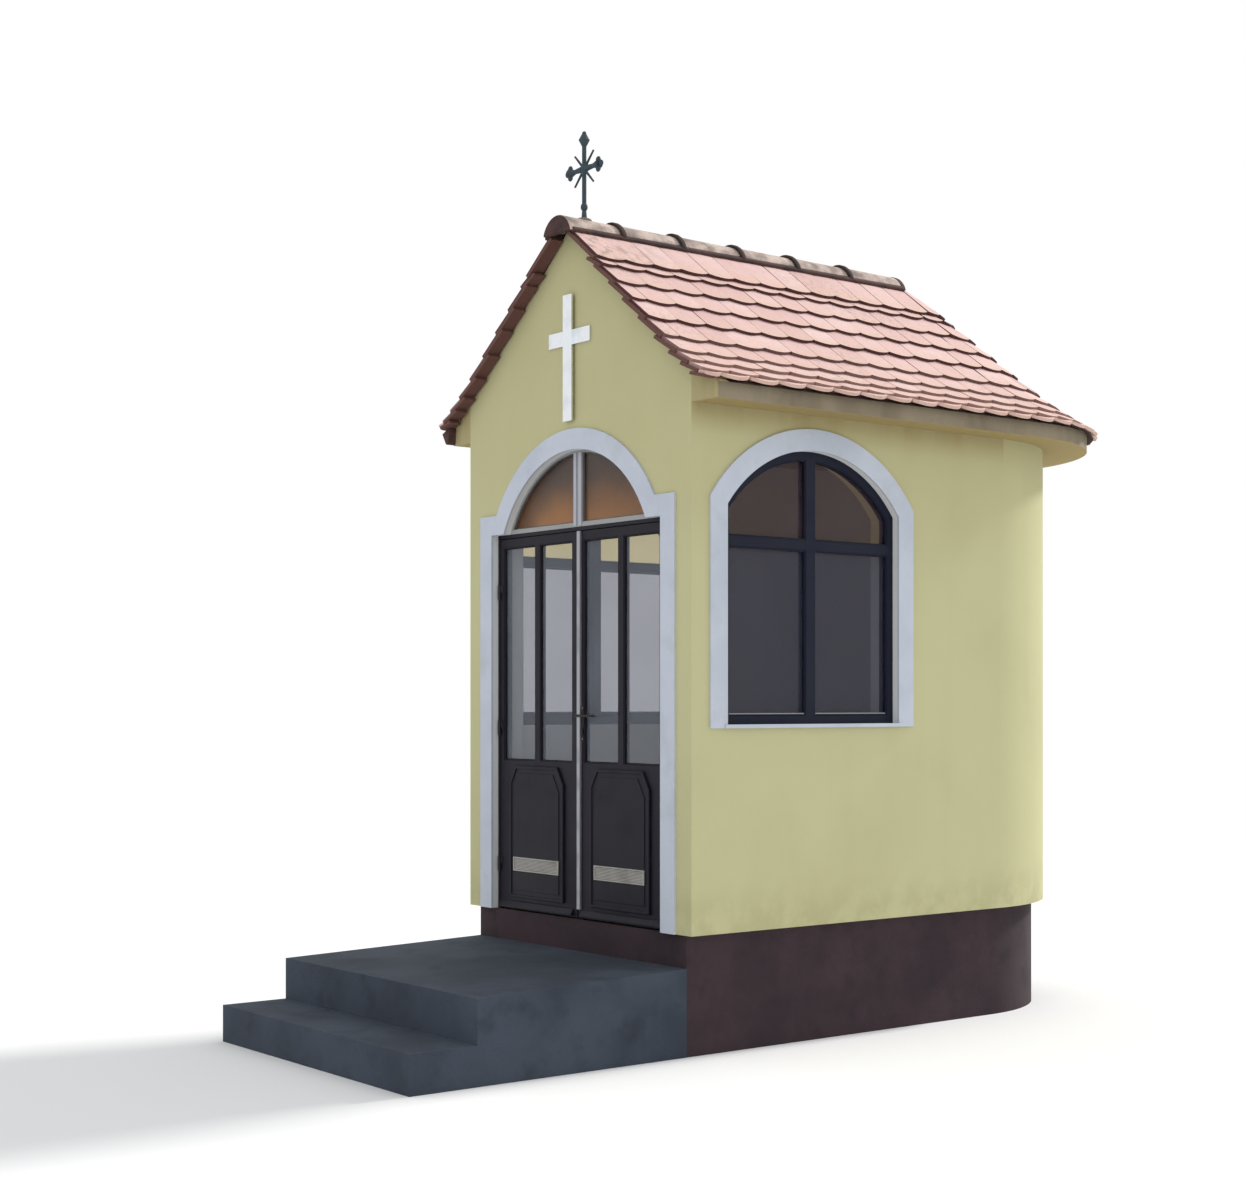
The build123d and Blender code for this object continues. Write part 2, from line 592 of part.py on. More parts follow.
with BuildPart() as door_frame:
    with BuildSketch(front_plane(LEAF_FACE)):
        with Locations((0, FLOOR_LEVEL)):
            Rectangle(DOOR_WIDTH, DOOR_TOP - FLOOR_LEVEL, align=(Align.CENTER, Align.MIN))
            Rectangle(2 * JAMB_X, HEAD_Z - FLOOR_LEVEL, align=(Align.CENTER, Align.MIN), mode=Mode.SUBTRACT)
    extrude(amount=-FRAME_DEPTH)
    with BuildSketch(front_plane(STOP_FACE)):
        with Locations((0, FLOOR_LEVEL)):
            Rectangle(2 * JAMB_X, HEAD_Z - FLOOR_LEVEL, align=(Align.CENTER, Align.MIN))
        with Locations((0, FLOOR_LEVEL + FRAME_SILL)):
            Rectangle(2 * (JAMB_X - FRAME_STOP), HEAD_Z - FRAME_STOP - FLOOR_LEVEL - FRAME_SILL,
                      align=(Align.CENTER, Align.MIN), mode=Mode.SUBTRACT)
    extrude(amount=-(FRAME_BACK - STOP_FACE))
save(door_frame, "door_frame")

# Fanlight over the door
FAN_LIGHT_RADIUS = FAN_RADIUS - FAN_RIM
FAN_LIGHT_Z = DOOR_TOP + FAN_RAIL


def fan_lights():
    """The two glazed areas of the fanlight."""
    half_width = half_width_at(FAN_LIGHT_RADIUS, FAN_ARC_Z, FAN_LIGHT_Z)
    with BuildSketch() as lights:
        add(round_head(half_width, FAN_LIGHT_Z, FAN_ARC_Z, FAN_LIGHT_RADIUS))
        with Locations((0, DOOR_TOP)):
            Rectangle(FAN_MULLION, 2 * FAN_RISE, align=(Align.CENTER, Align.MIN), mode=Mode.SUBTRACT)
    return lights.sketch


with BuildPart() as fanlight_frame:
    with BuildSketch(front_plane(LEAF_FACE)):
        add(round_head(FAN_HALF, DOOR_TOP, FAN_ARC_Z, FAN_RADIUS))
        add(fan_lights(), mode=Mode.SUBTRACT)
    extrude(amount=-FAN_FRAME_DEPTH)
save(fanlight_frame, "fanlight_frame")

with BuildPart() as fanlight_glass:
    with BuildSketch(front_plane(LEAF_FACE + FAN_FRAME_DEPTH / 2)):
        add(fan_lights())
    extrude(amount=GLASS_THICK)
save(fanlight_glass, "fanlight_glass")

# Right door leaf
PANE_START = LEAF_INNER + LEAF_STILE_INNER
PANE_END = LEAF_EDGE - LEAF_STILE_OUTER
PANE_WIDTH = (PANE_END - PANE_START - LEAF_MUNTIN) / 2
PANE_LOW = FLOOR_LEVEL + PANE_SILL
PANE_HIGH = LEAF_TOP - LEAF_TOP_RAIL
PANEL_LEFT = LEAF_INNER + PANEL_INNER_MARGIN
PANEL_RIGHT = LEAF_EDGE - PANEL_OUTER_MARGIN
PANEL_LOW = LEAF_LOW + PANEL_BOTTOM_MARGIN
PANEL_HIGH = PANE_LOW - PANEL_TOP_MARGIN
PANEL_CORNER_Z = PANEL_HIGH - PANEL_CUT_HEIGHT


def leaf_panes():
    """The two glazed areas of the right leaf."""
    with BuildSketch() as panes:
        with Locations((PANE_START, PANE_LOW), (PANE_END - PANE_WIDTH, PANE_LOW)):
            Rectangle(PANE_WIDTH, PANE_HIGH - PANE_LOW, align=(Align.MIN, Align.MIN))
    return panes.sketch


with BuildPart() as door_leaf_right:
    with BuildSketch(front_plane(LEAF_FACE)):
        with Locations((LEAF_INNER, LEAF_LOW)):
            Rectangle(LEAF_EDGE - LEAF_INNER, LEAF_TOP - LEAF_LOW, align=(Align.MIN, Align.MIN))
        add(leaf_panes(), mode=Mode.SUBTRACT)
    extrude(amount=-LEAF_THICK)
    with BuildSketch(front_plane(LEAF_FACE)):
        with BuildLine():
            Polyline((PANEL_LEFT, PANEL_LOW), (PANEL_RIGHT, PANEL_LOW), (PANEL_RIGHT, PANEL_CORNER_Z),
                     (PANEL_RIGHT - PANEL_CUT_WIDTH, PANEL_HIGH), (PANEL_LEFT + PANEL_CUT_WIDTH, PANEL_HIGH),
                     (PANEL_LEFT, PANEL_CORNER_Z), close=True)
        make_face()
    extrude(amount=PANEL_PROUD)
save(door_leaf_right, "door_leaf_right")

with BuildPart() as door_glass_right:
    with BuildSketch(front_plane(LEAF_FACE + LEAF_THICK / 2)):
        add(leaf_panes())
    extrude(amount=GLASS_THICK)
save(door_glass_right, "door_glass_right")

with BuildPart() as vent_right:
    with BuildSketch(front_plane(LEAF_FACE - PANEL_PROUD)):
        with Locations(((PANEL_LEFT + PANEL_RIGHT) / 2, FLOOR_LEVEL + VENT_CENTRE)):
            Rectangle(VENT_WIDTH, VENT_HEIGHT)
    extrude(amount=VENT_PROUD)
save(vent_right, "vent_right")

# Cover strip on the right leaf, beside the gap between the leaves
with BuildPart() as astragal:
    with BuildSketch(front_plane(LEAF_FACE)):
        with Locations((LEAF_INNER, LEAF_LOW + ASTRAGAL_STOP)):
            Rectangle(ASTRAGAL_WIDTH, LEAF_TOP - LEAF_LOW - ASTRAGAL_STOP, align=(Align.MIN, Align.MIN))
    extrude(amount=ASTRAGAL_PROUD)
save(astragal, "astragal")

# Hinges: a pin on the frame, a bored knuckle on the leaf
HINGE_X = JAMB_X - RUN_GAP / 2
HINGE_Y = LEAF_FACE - PIN_STANDOFF
HINGE_LOW_Z = FLOOR_LEVEL + HINGE_LOW
HINGE_HIGH_Z = DOOR_TOP - HINGE_HIGH
HINGE_ZS = (HINGE_LOW_Z, (HINGE_LOW_Z + HINGE_HIGH_Z) / 2, HINGE_HIGH_Z)
FROM_BELOW = (Align.CENTER, Align.CENTER, Align.MIN)

with BuildPart() as hinge_pins:
    for middle_z in HINGE_ZS:
        foot_z = middle_z - KNUCKLE_GAP - KNUCKLE_LENGTH
        with Locations((HINGE_X, HINGE_Y, foot_z)):
            Cylinder(KNUCKLE_RADIUS, KNUCKLE_LENGTH, align=FROM_BELOW)
            Cylinder(PIN_RADIUS, 2 * KNUCKLE_LENGTH - PIN_SHORTFALL, align=FROM_BELOW)
        with Locations((HINGE_X, LEAF_FACE, foot_z)):
            Box(HINGE_PLATE_REACH, HINGE_PLATE_THICK, KNUCKLE_LENGTH,
                align=(Align.MIN, Align.MAX, Align.MIN))
    mirror(about=Plane.YZ)
save(hinge_pins, "hinge_pins")

with BuildPart() as hinge_knuckles_right:
    for middle_z in HINGE_ZS:
        with Locations((HINGE_X, HINGE_Y, middle_z)):
            Cylinder(KNUCKLE_RADIUS, KNUCKLE_LENGTH, align=FROM_BELOW)
        with Locations((HINGE_X, LEAF_FACE, middle_z)):
            Box(HINGE_PLATE_REACH, HINGE_PLATE_THICK, KNUCKLE_LENGTH,
                align=(Align.MAX, Align.MAX, Align.MIN))
        with Locations((HINGE_X, HINGE_Y, middle_z)):
            Cylinder(PIN_RADIUS + PIN_CLEARANCE, KNUCKLE_LENGTH, align=FROM_BELOW, mode=Mode.SUBTRACT)
save(hinge_knuckles_right, "hinge_knuckles_right")

# Left door leaf with its fittings
for right_piece, left_name in ((door_leaf_right, "door_leaf_left"), (door_glass_right, "door_glass_left"),
                               (vent_right, "vent_left"), (hinge_knuckles_right, "hinge_knuckles_left")):
    with BuildPart() as left_piece:
        mirror(right_piece.part, about=Plane.YZ)
    save(left_piece, left_name)

# Lock plate and lever handle on the right leaf
HANDLE_X = LEAF_INNER + ASTRAGAL_WIDTH + LOCK_PLATE_GAP + LOCK_PLATE_WIDTH / 2
HANDLE_Z = FLOOR_LEVEL + HANDLE_HEIGHT
LOCK_MIDDLE_Z = HANDLE_Z - LOCK_DROP / 2
LEVER_Y = LEAF_FACE - LOCK_PLATE_THICK - HANDLE_CLEARANCE - HANDLE_STANDOFF

with BuildPart() as lock_plate:
    with BuildSketch(front_plane(LEAF_FACE)):
        with Locations((HANDLE_X, LOCK_MIDDLE_Z)):
            RectangleRounded(LOCK_PLATE_WIDTH, LOCK_PLATE_HEIGHT, LOCK_PLATE_WIDTH / 3)
    extrude(amount=LOCK_PLATE_THICK)
    with BuildSketch(front_plane(LEAF_FACE - LOCK_PLATE_THICK)):
        with Locations((HANDLE_X, HANDLE_Z - LOCK_DROP)):
            SlotOverall(LOCK_CYLINDER_HEIGHT, LOCK_CYLINDER_WIDTH, rotation=90)
    extrude(amount=LOCK_CYLINDER_PROUD)
save(lock_plate, "lock_plate")

with BuildPart() as door_handle:
    with BuildSketch(front_plane(LEAF_FACE - LOCK_PLATE_THICK - HANDLE_CLEARANCE)):
        with Locations((HANDLE_X, HANDLE_Z)):
            Circle(SPINDLE_RADIUS)
    extrude(amount=HANDLE_STANDOFF)
    with BuildSketch(side_plane(HANDLE_X)):
        with Locations((LEVER_Y, HANDLE_Z)):
            Circle(LEVER_RADIUS)
    extrude(amount=HANDLE_REACH)
    with Locations((HANDLE_X, LEVER_Y, HANDLE_Z), (HANDLE_X + HANDLE_REACH, LEVER_Y, HANDLE_Z)):
        Sphere(LEVER_RADIUS)
save(door_handle, "door_handle")

# Altar with its cloth
CLOTH_OUT = CLOTH_THICK + CLOTH_CLEARANCE
ALTAR_Y = FRONT + ALTAR_FRONT
FRONT_FOOT = (Align.CENTER, Align.MIN, Align.MIN)

with BuildPart() as altar_table:
    with Locations((0, ALTAR_Y, FLOOR_LEVEL + FLOOR_THICK)):
        Box(ALTAR_WIDTH, ALTAR_DEPTH, ALTAR_HEIGHT - FLOOR_THICK, align=FRONT_FOOT)
save(altar_table, "altar_table")

with BuildPart() as altar_cloth:
    with Locations((0, ALTAR_Y - CLOTH_OUT, FLOOR_LEVEL + CLOTH_HEM)):
        Box(ALTAR_WIDTH + 2 * CLOTH_OUT, ALTAR_DEPTH + CLOTH_OUT, ALTAR_HEIGHT - CLOTH_HEM + CLOTH_OUT,
            align=FRONT_FOOT)
    with Locations((0, ALTAR_Y - CLOTH_CLEARANCE, FLOOR_LEVEL + CLOTH_HEM)):
        Box(ALTAR_WIDTH + 2 * CLOTH_CLEARANCE, ALTAR_DEPTH + CLOTH_OUT,
            ALTAR_HEIGHT - CLOTH_HEM + CLOTH_CLEARANCE, align=FRONT_FOOT, mode=Mode.SUBTRACT)
save(altar_cloth, "altar_cloth")
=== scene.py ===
"""Looks of the wayside chapel: tiled bell-cast roof, rendered walls, glazed double door and arched windows.

Everything is in metres in the part's own frame: X to the right seen from the door, Y from the door
towards the round back, Z up.
"""
from __future__ import annotations

import logging
import math
from dataclasses import dataclass, field, replace
from enum import Enum
from random import Random
from typing import Callable, Iterable, Sequence, Union

import bmesh
import bpy
from mathutils import Matrix, Vector


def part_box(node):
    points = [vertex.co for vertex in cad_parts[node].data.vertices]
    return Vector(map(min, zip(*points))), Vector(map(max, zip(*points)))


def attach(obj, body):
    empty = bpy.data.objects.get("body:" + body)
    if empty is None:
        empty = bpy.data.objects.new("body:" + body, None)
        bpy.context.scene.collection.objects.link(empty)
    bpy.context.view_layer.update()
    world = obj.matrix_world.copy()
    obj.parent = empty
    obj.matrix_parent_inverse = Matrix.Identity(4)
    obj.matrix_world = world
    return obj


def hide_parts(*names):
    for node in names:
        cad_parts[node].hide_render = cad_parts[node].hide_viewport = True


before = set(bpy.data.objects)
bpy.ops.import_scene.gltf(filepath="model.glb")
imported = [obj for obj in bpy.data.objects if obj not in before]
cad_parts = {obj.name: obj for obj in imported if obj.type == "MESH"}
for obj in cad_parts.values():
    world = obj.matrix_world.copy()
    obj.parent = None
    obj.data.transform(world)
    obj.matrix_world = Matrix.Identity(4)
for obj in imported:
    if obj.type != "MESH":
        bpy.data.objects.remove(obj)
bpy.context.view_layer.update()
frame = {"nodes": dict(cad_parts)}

LOG = logging.getLogger("chapel")
Colour = tuple[float, float, float]
TILE_BED = 0.020  # the roof's curve ends this far below the top of the eaves slab
WELD = 1e-5       # points closer than this are the same


def rgb(red: int, green: int, blue: int) -> Colour:
    """Turns a colour as a screen shows it into the linear values that shaders use.

    Args:
        red, green, blue: The channels, from 0 to 255.

    Returns:
        The linear colour.
    """
    def linear(channel: int) -> float:
        """One channel, linear."""
        value = channel / 255
        return value / 12.92 if value <= 0.04045 else ((value + 0.055) / 1.055) ** 2.4
    return linear(red), linear(green), linear(blue)


def deep(distance: float) -> Vector:
    """A step into the building."""
    return Vector((0.0, distance, 0.0))


def _maths(operation: str, swapped: bool = False) -> Callable[..., "Value"]:
    """Makes an operator for shader values.

    Args:
        operation: The Math node's operation.
        swapped: Whether the other value comes first, as in a reflected form.

    Returns:
        The operator.
    """
    def operator(this: "Value", other: "Number" = 0.0) -> "Value":
        """Adds the Math node."""
        return this.graph.math(operation, *((other, this) if swapped else (this, other)))
    return operator


class Value:
    """A shader socket that takes part in Python maths; comparisons give 1 or 0."""

    def __init__(self, graph: "Graph", socket: bpy.types.NodeSocket) -> None:
        """Keeps the socket and the graph that new maths nodes go into."""
        self.graph = graph
        self.socket = socket

    __add__ = __radd__ = _maths("ADD")
    __sub__ = _maths("SUBTRACT")
    __rsub__ = _maths("SUBTRACT", swapped=True)
    __mul__ = __rmul__ = _maths("MULTIPLY")
    __truediv__ = _maths("DIVIDE")
    __pow__ = _maths("POWER")
    __gt__ = _maths("GREATER_THAN")
    __lt__ = _maths("LESS_THAN")
    __abs__ = _maths("ABSOLUTE")
    most = _maths("MAXIMUM")

    def ramp(self, start: float, end: float) -> "Value":
        """Goes smoothly from 0 to 1 between two values; start may be above end.

        Args:
            start: Where the result is 0.
            end: Where the result is 1.

        Returns:
            The value between 0 and 1.
        """
        inputs = {0: self, 1: min(start, end), 2: max(start, end)}
        smooth = self.graph.node("ShaderNodeMapRange", {"interpolation_type": "SMOOTHSTEP"}, inputs)
        return smooth if start <= end else 1 - smooth


Number = Union[Value, float, int]


class Graph:
    """The node tree of one material or of the world."""

    def __init__(self, tree: bpy.types.NodeTree, output: str = "ShaderNodeOutputMaterial") -> None:
        """Empties the tree and adds its output node.

        Args:
            tree: The tree.
            output: The output node's type.
        """
        self.tree = tree
        tree.nodes.clear()
        self.output = tree.nodes.new(output)

    def node(self, kind: str, settings: dict | None = None, inputs: dict | None = None,
             out: int | str = 0) -> Value:
        """Adds a node.

        Args:
            kind: The node's type.
            settings: Properties that are set before the sockets; stops are a ramp's (place, colour) pairs.
            inputs: Values or links of the sockets, by name or number.
            out: The output that is wanted.

        Returns:
            That output.
        """
        node = self.tree.nodes.new(kind)
        for key, value in (settings or {}).items():
            if key != "stops":
                setattr(node, key, value)
                continue
            elements = node.color_ramp.elements
            while len(elements) < len(value):
                elements.new(0.5)
            for element, (place, colour) in zip(elements, value):
                element.position = place
                element.color = (*colour, 1.0)
        for key, value in (inputs or {}).items():
            socket = node.inputs[key]
            if isinstance(value, Value):
                self.tree.links.new(value.socket, socket)
            elif socket.type == "RGBA":
                socket.default_value = (*value, 1.0)
            else:
                socket.default_value = value
        return Value(self, node.outputs[out])

    def math(self, operation: str, first: Number, second: Number = 0.0) -> Value:
        """Adds a Math node and returns its result."""
        return self.node("ShaderNodeMath", {"operation": operation}, {0: first, 1: second})

    def mix(self, first: Value | Colour, second: Value | Colour, factor: Number) -> Value:
        """Mixes two colours: factor 0 gives the first and 1 the second."""
        return self.node("ShaderNodeMix", {"data_type": "RGBA"}, {0: factor, 6: first, 7: second}, out=2)

    def scaled(self, colour: Value, factor: Number) -> Value:
        """Makes a colour lighter or darker by a factor."""
        return self.node("ShaderNodeVectorMath", {"operation": "SCALE"}, {0: colour, "Scale": factor})

    def mark(self, name: str) -> Value:
        """A number that the mesh keeps under a name."""
        return self.node("ShaderNodeAttribute", {"attribute_name": name}, out="Fac")

    def place(self) -> Value:
        """The point's own place on the piece, in metres."""
        return self.node("ShaderNodeTexCoord", out="Object")

    def axes(self) -> tuple[Value, ...]:
        """The three parts of the point's place."""
        parts = self.node("ShaderNodeSeparateXYZ", inputs={0: self.place()}).socket.node.outputs
        return tuple(Value(self, part) for part in parts)

    def noise(self, scale: float, detail: float = 3.0, stretch: Colour = (1.0, 1.0, 1.0),
              rough: float = 0.55, shift: float = 0.0) -> Value:
        """Cloudy noise between 0 and 1.

        Args:
            scale: Patches to a metre.
            detail: Number of finer layers.
            stretch: Scale along each axis, for streaks and grain.
            rough: Strength of the finer layers.
            shift: Moves the pattern, so that two patterns differ.

        Returns:
            The noise.
        """
        place = self.node("ShaderNodeMapping", inputs={0: self.place(), 1: (shift, shift, shift), 3: stretch})
        return self.node("ShaderNodeTexNoise",
                         inputs={"Vector": place, "Scale": scale, "Detail": detail, "Roughness": rough})

    def bump(self, height: Value, depth: float, strength: float = 1.0) -> Value:
        """A normal that follows a height, where 1 is depth metres high."""
        return self.node("ShaderNodeBump", inputs={"Strength": strength, "Distance": depth, "Height": height})

    def principled(self, colour: Value | Colour, rough: Number, normal: Value | None = None,
                   **more: Number) -> Value:
        """Adds the main surface shader.

        Args:
            colour: Its base colour.
            rough: Its roughness.
            normal: Its normal, where a bump turns it.
            more: Further sockets, with a low line for each space in their names.

        Returns:
            The shader.
        """
        inputs = {"Base Color": colour, "Roughness": rough}
        inputs.update({key.replace("_", " "): value for key, value in more.items()})
        if normal is not None:
            inputs["Normal"] = normal
        return self.node("ShaderNodeBsdfPrincipled", inputs=inputs)

    def end(self, shader: Value) -> None:
        """Links the finished shader to the output."""
        self.tree.links.new(shader.socket, self.output.inputs[0])


@dataclass(frozen=True)
class Site:
    """Places that several pieces share."""

    front: float
    wall_half: float
    floor: float
    wall_top: float
    apse_y: float
    verge_y: float
    roof_y: float
    eave_x: float
    bed_z: float
    eave_z: float
    leaf_face: float
    fan_z: float

    @classmethod
    def read(cls) -> "Site":
        """Reads the places from the boxes of the part's nodes.

        Returns:
            The places.
        """
        pier_low, pier_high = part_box("front_wall_right")
        roof_low, roof_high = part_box("roof_right")
        return cls(front=pier_low.y, wall_half=pier_high.x, floor=pier_low.z, wall_top=pier_high.z,
                   apse_y=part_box("right_wall_rear")[1].y, verge_y=roof_low.y, roof_y=roof_high.y,
                   eave_x=roof_high.x, bed_z=roof_high.z, eave_z=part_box("eaves_slab")[1].z - TILE_BED,
                   leaf_face=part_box("door_frame")[0].y, fan_z=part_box("fanlight_frame")[0].z)


SITE = Site.read()


class Finish:
    """A finish that makes one material, once."""

    name: str

    def paint(self, graph: Graph) -> None:
        """Fills the material's node tree."""
        raise NotImplementedError

    def material(self) -> bpy.types.Material:
        """Makes the material, unless it is there already.

        Returns:
            The material.
        """
        name = f"finish_{self.name}"
        made = bpy.data.materials.get(name)
        if made is None:
            made = bpy.data.materials.new(name)
            made.use_nodes = True
            self.paint(Graph(made.node_tree))
        return made


@dataclass(frozen=True)
class WallRender(Finish):
    """Floated mineral render outside, smooth pale plaster inside."""

    name: str = "wall_render"
    outside: Colour = rgb(189, 186, 144)
    shade: Colour = rgb(177, 173, 131)
    damp: Colour = rgb(146, 140, 104)
    # painted shade: the yellow-brown that the wall darkens to just below the eaves slab
    under_eaves_shade: Colour = rgb(148, 128, 84)
    inside: Colour = rgb(214, 215, 214)
    skin: float = 0.0006
    has_inside: bool = True

    def paint(self, graph: Graph) -> None:
        """Blotches, a painted shade below the eaves with runs of dirt in it, damp at the foot and a fine
        float grain.

        Args:
            graph: The material's node tree.
        """
        x, y, z = graph.axes()
        outer_x = abs(x) > SITE.wall_half - self.skin
        cloud = graph.noise(0.9, 4.0)
        runs = graph.noise(6.0, 3.0, stretch=(1.0, 1.0, 0.07), shift=3.0)
        worn = cloud.ramp(0.42, 0.72) * 0.5 + runs.ramp(0.5, 0.75) * 0.12
        colour = graph.mix(self.outside, self.shade, worn)
        low = z.ramp(SITE.floor + 0.30, SITE.floor) * graph.noise(7.0, 4.0, shift=5.0).ramp(0.35, 0.62)
        # painted shade below the eaves: the top 0.16 m of the outer walls darkens, with runs of dirt in it,
        # and the top 0.9 m darkens a little inside and out
        high = z.ramp(SITE.wall_top - 0.16, SITE.wall_top) * (runs.ramp(0.42, 0.66) * 0.16 + 0.4)
        high = high * outer_x + z.ramp(SITE.wall_top - 0.9, SITE.wall_top) * 0.12
        colour = graph.mix(graph.mix(colour, self.damp, low * 0.28), self.under_eaves_shade, high)
        grain = graph.noise(230.0, 3.0, rough=0.7) * 0.6 + graph.noise(55.0, 2.0) * 0.4
        if self.has_inside:
            radius = SITE.wall_half - self.skin
            back = (x * x + (y - SITE.apse_y) ** 2 > radius ** 2) * (y > SITE.apse_y)
            outer = outer_x.most(y < SITE.front + self.skin).most(back)
            colour = graph.mix(self.inside, colour, outer)
        graph.end(graph.principled(colour, 0.92, graph.bump(grain, 0.0022, 0.7), Specular_IOR_Level=0.25))


@dataclass(frozen=True)
class Masonry(Finish):
    """Concrete, mortar or smooth painted render with stains and grain."""

    name: str
    light: Colour
    dark: Colour
    stain: Colour
    patches: float = 3.0
    stain_share: float = 0.5
    grain: float = 140.0
    depth: float = 0.002
    streaks: Colour = (1.0, 1.0, 1.0)

    def tones(self, graph: Graph) -> Value:
        """Two tones in patches with stains over them.

        Args:
            graph: The material's node tree.

        Returns:
            The colour.
        """
        tone = graph.noise(self.patches, 5.0, stretch=self.streaks)
        colour = graph.mix(self.light, self.dark, tone.ramp(0.38, 0.66))
        spots = graph.noise(self.patches * 3.1, 5.0, stretch=self.streaks, shift=7.0).ramp(0.5, 0.72)
        return graph.mix(colour, self.stain, spots * self.stain_share)

    def paint(self, graph: Graph) -> None:
        """Lays a sandy grain over the tones.

        Args:
            graph: The material's node tree.
        """
        grain = graph.noise(self.grain, 3.0, rough=0.7)
        colour = graph.scaled(self.tones(graph), grain * 0.16 + 0.92)
        graph.end(graph.principled(colour, 0.88, graph.bump(grain, self.depth, 0.8), Specular_IOR_Level=0.3))


@dataclass(frozen=True)
class SlabRender(Masonry):
    """The weathered render of the eaves slab; its underside is the wall's render, darkened there as painted
    shade.
    """

    # painted shade: the wall's yellow darkened, as the slab's underside shows it in shade
    under: Colour = rgb(158, 140, 94)
    skin: float = 0.001

    def tones(self, graph: Graph) -> Value:
        """The edge's tones, and below them the wall's colour darkened as painted shade.

        Args:
            graph: The material's node tree.

        Returns:
            The colour.
        """
        # the underside gets the painted shade colour
        below = graph.axes()[2] < SITE.wall_top + self.skin
        return graph.mix(super().tones(graph), self.under, below)


@dataclass(frozen=True)
class Clay(Finish):
    """Fired clay with its own tone on every tile, dark edges of painted shade and some dirt, and lichen."""

    name: str = "roof_clay"
    deep: Colour = rgb(190, 152, 146)
    middle: Colour = rgb(208, 173, 168)
    pale: Colour = rgb(224, 198, 194)
    # painted shade with some dirt: the dark brown of the tiles' tail and side faces
    edge: Colour = rgb(74, 43, 42)
    tail: Colour = rgb(204, 172, 150)
    lichen: Colour = rgb(122, 114, 100)
    lichen_share: float = 0.3

    def paint(self, graph: Graph) -> None:
        """Reads each tile's tone, its wear towards the tail and its edge mark from the mesh; the edge mark
        paints shade, with some dirt, on the tiles' edges.

        Args:
            graph: The material's node tree.
        """
        cloud = graph.noise(14.0, 4.0)
        stops = {"stops": [(0.0, self.deep), (0.5, self.middle), (1.0, self.pale)]}
        tone = graph.mark("tone") * 0.75 + cloud * 0.42 - 0.09
        colour = graph.node("ShaderNodeValToRGB", stops, {0: tone})
        streak = graph.noise(24.0, 3.0, shift=6.0).ramp(0.35, 0.65)
        colour = graph.mix(colour, self.tail, graph.mark("wear").ramp(0.45, 1.0) * (streak * 0.5 + 0.25))
        _, y, z = graph.axes()
        crust = y.ramp(SITE.verge_y + 0.75, SITE.verge_y).most(y.ramp(SITE.roof_y, SITE.roof_y + 0.12))
        crust = crust * z.ramp(SITE.bed_z - 0.50, SITE.bed_z - 0.15)
        patch = graph.noise(1.6, 3.0, shift=4.0).ramp(0.5, 0.68)
        spots = graph.noise(42.0, 4.0, shift=9.0).ramp(0.5, 0.62) * (patch * 0.75 + 0.25)
        blots = graph.noise(15.0, 5.0, shift=2.0).ramp(0.46, 0.60) * crust
        colour = graph.mix(colour, self.lichen, (spots * self.lichen_share).most(blots * 0.6))
        # painted shade, partly dirt: the edge mark darkens the tiles' tails and sides
        colour = graph.mix(colour, self.edge, graph.mark("rim"))
        normal = graph.bump(graph.noise(170.0, 3.0), 0.0015, 0.6)
        graph.end(graph.principled(colour, 0.8, normal, Specular_IOR_Level=0.35))


@dataclass(frozen=True)
class Paint(Finish):
    """Satin paint or stain on timber or metal, with a faint grain and rubbed spots."""

    name: str
    colour: Colour
    worn: Colour
    rough: float = 0.42
    grain: Colour = (60.0, 60.0, 2.5)
    wear: float = 0.25

    def paint(self, graph: Graph) -> None:
        """Grain along the piece, dust in clouds and a roughness that varies with them.

        Args:
            graph: The material's node tree.
        """
        lines = graph.noise(1.0, 4.0, stretch=self.grain)
        dust = graph.noise(5.0, 5.0, shift=2.0).ramp(0.42, 0.75)
        colour = graph.mix(self.colour, self.worn, dust * self.wear + lines.ramp(0.5, 0.8) * 0.18)
        graph.end(graph.principled(colour, dust * 0.2 + self.rough, graph.bump(lines, 0.0006, 0.5),
                                   Specular_IOR_Level=0.2))


@dataclass(frozen=True)
class Metal(Finish):
    """Bare metal with fine brushing and cloudy tarnish."""

    name: str
    colour: Colour
    tarnish: Colour
    rough: float
    tarnish_share: float
    brushing: Colour = (8.0, 8.0, 300.0)
    metallic: float = 1.0

    def paint(self, graph: Graph) -> None:
        """Brushing lines in the bump, clouds of tarnish in the colour and the roughness.

        Args:
            graph: The material's node tree.
        """
        clouds = graph.noise(9.0, 5.0).ramp(0.45, 0.72)
        lines = graph.noise(1.0, 2.0, stretch=self.brushing)
        colour = graph.mix(self.colour, self.tarnish, clouds * self.tarnish_share)
        graph.end(graph.principled(colour, clouds * 0.25 + self.rough, graph.bump(lines, 0.0004, 0.35),
                                   Metallic=self.metallic))


@dataclass(frozen=True)
class Pane(Finish):
    """A glass sheet: what shows through it, its tint, a film of dust, its gloss, and an opaque colour that is
    painted reflection of the sky.
    """

    name: str
    tint: Colour
    # painted reflection: the bluish grey that the sky lays on the glass
    body: Colour
    painted_reflection_share: float
    rough: float = 0.04
    ripple: float = 0.0

    def paint(self, graph: Graph) -> None:
        """Mixes see-through with an opaque glossy layer, whose colour is painted reflection; the layer grows
        at flat angles.

        Args:
            graph: The material's node tree.
        """
        dust = graph.noise(3.0, 4.0).ramp(0.35, 0.8)
        normal = graph.bump(graph.noise(90.0, 1.0), self.ripple) if self.ripple else None
        # the opaque layer: real gloss over a painted reflection colour
        body = graph.principled(self.body, self.rough, normal)
        clear = graph.node("ShaderNodeBsdfTransparent", inputs={0: self.tint})
        facing = graph.node("ShaderNodeLayerWeight", inputs={"Blend": 0.5}, out="Facing")
        share = facing ** 5 * 0.9 + dust * 0.04 + self.painted_reflection_share
        graph.end(graph.node("ShaderNodeMixShader", inputs={0: share, 1: clear, 2: body}))


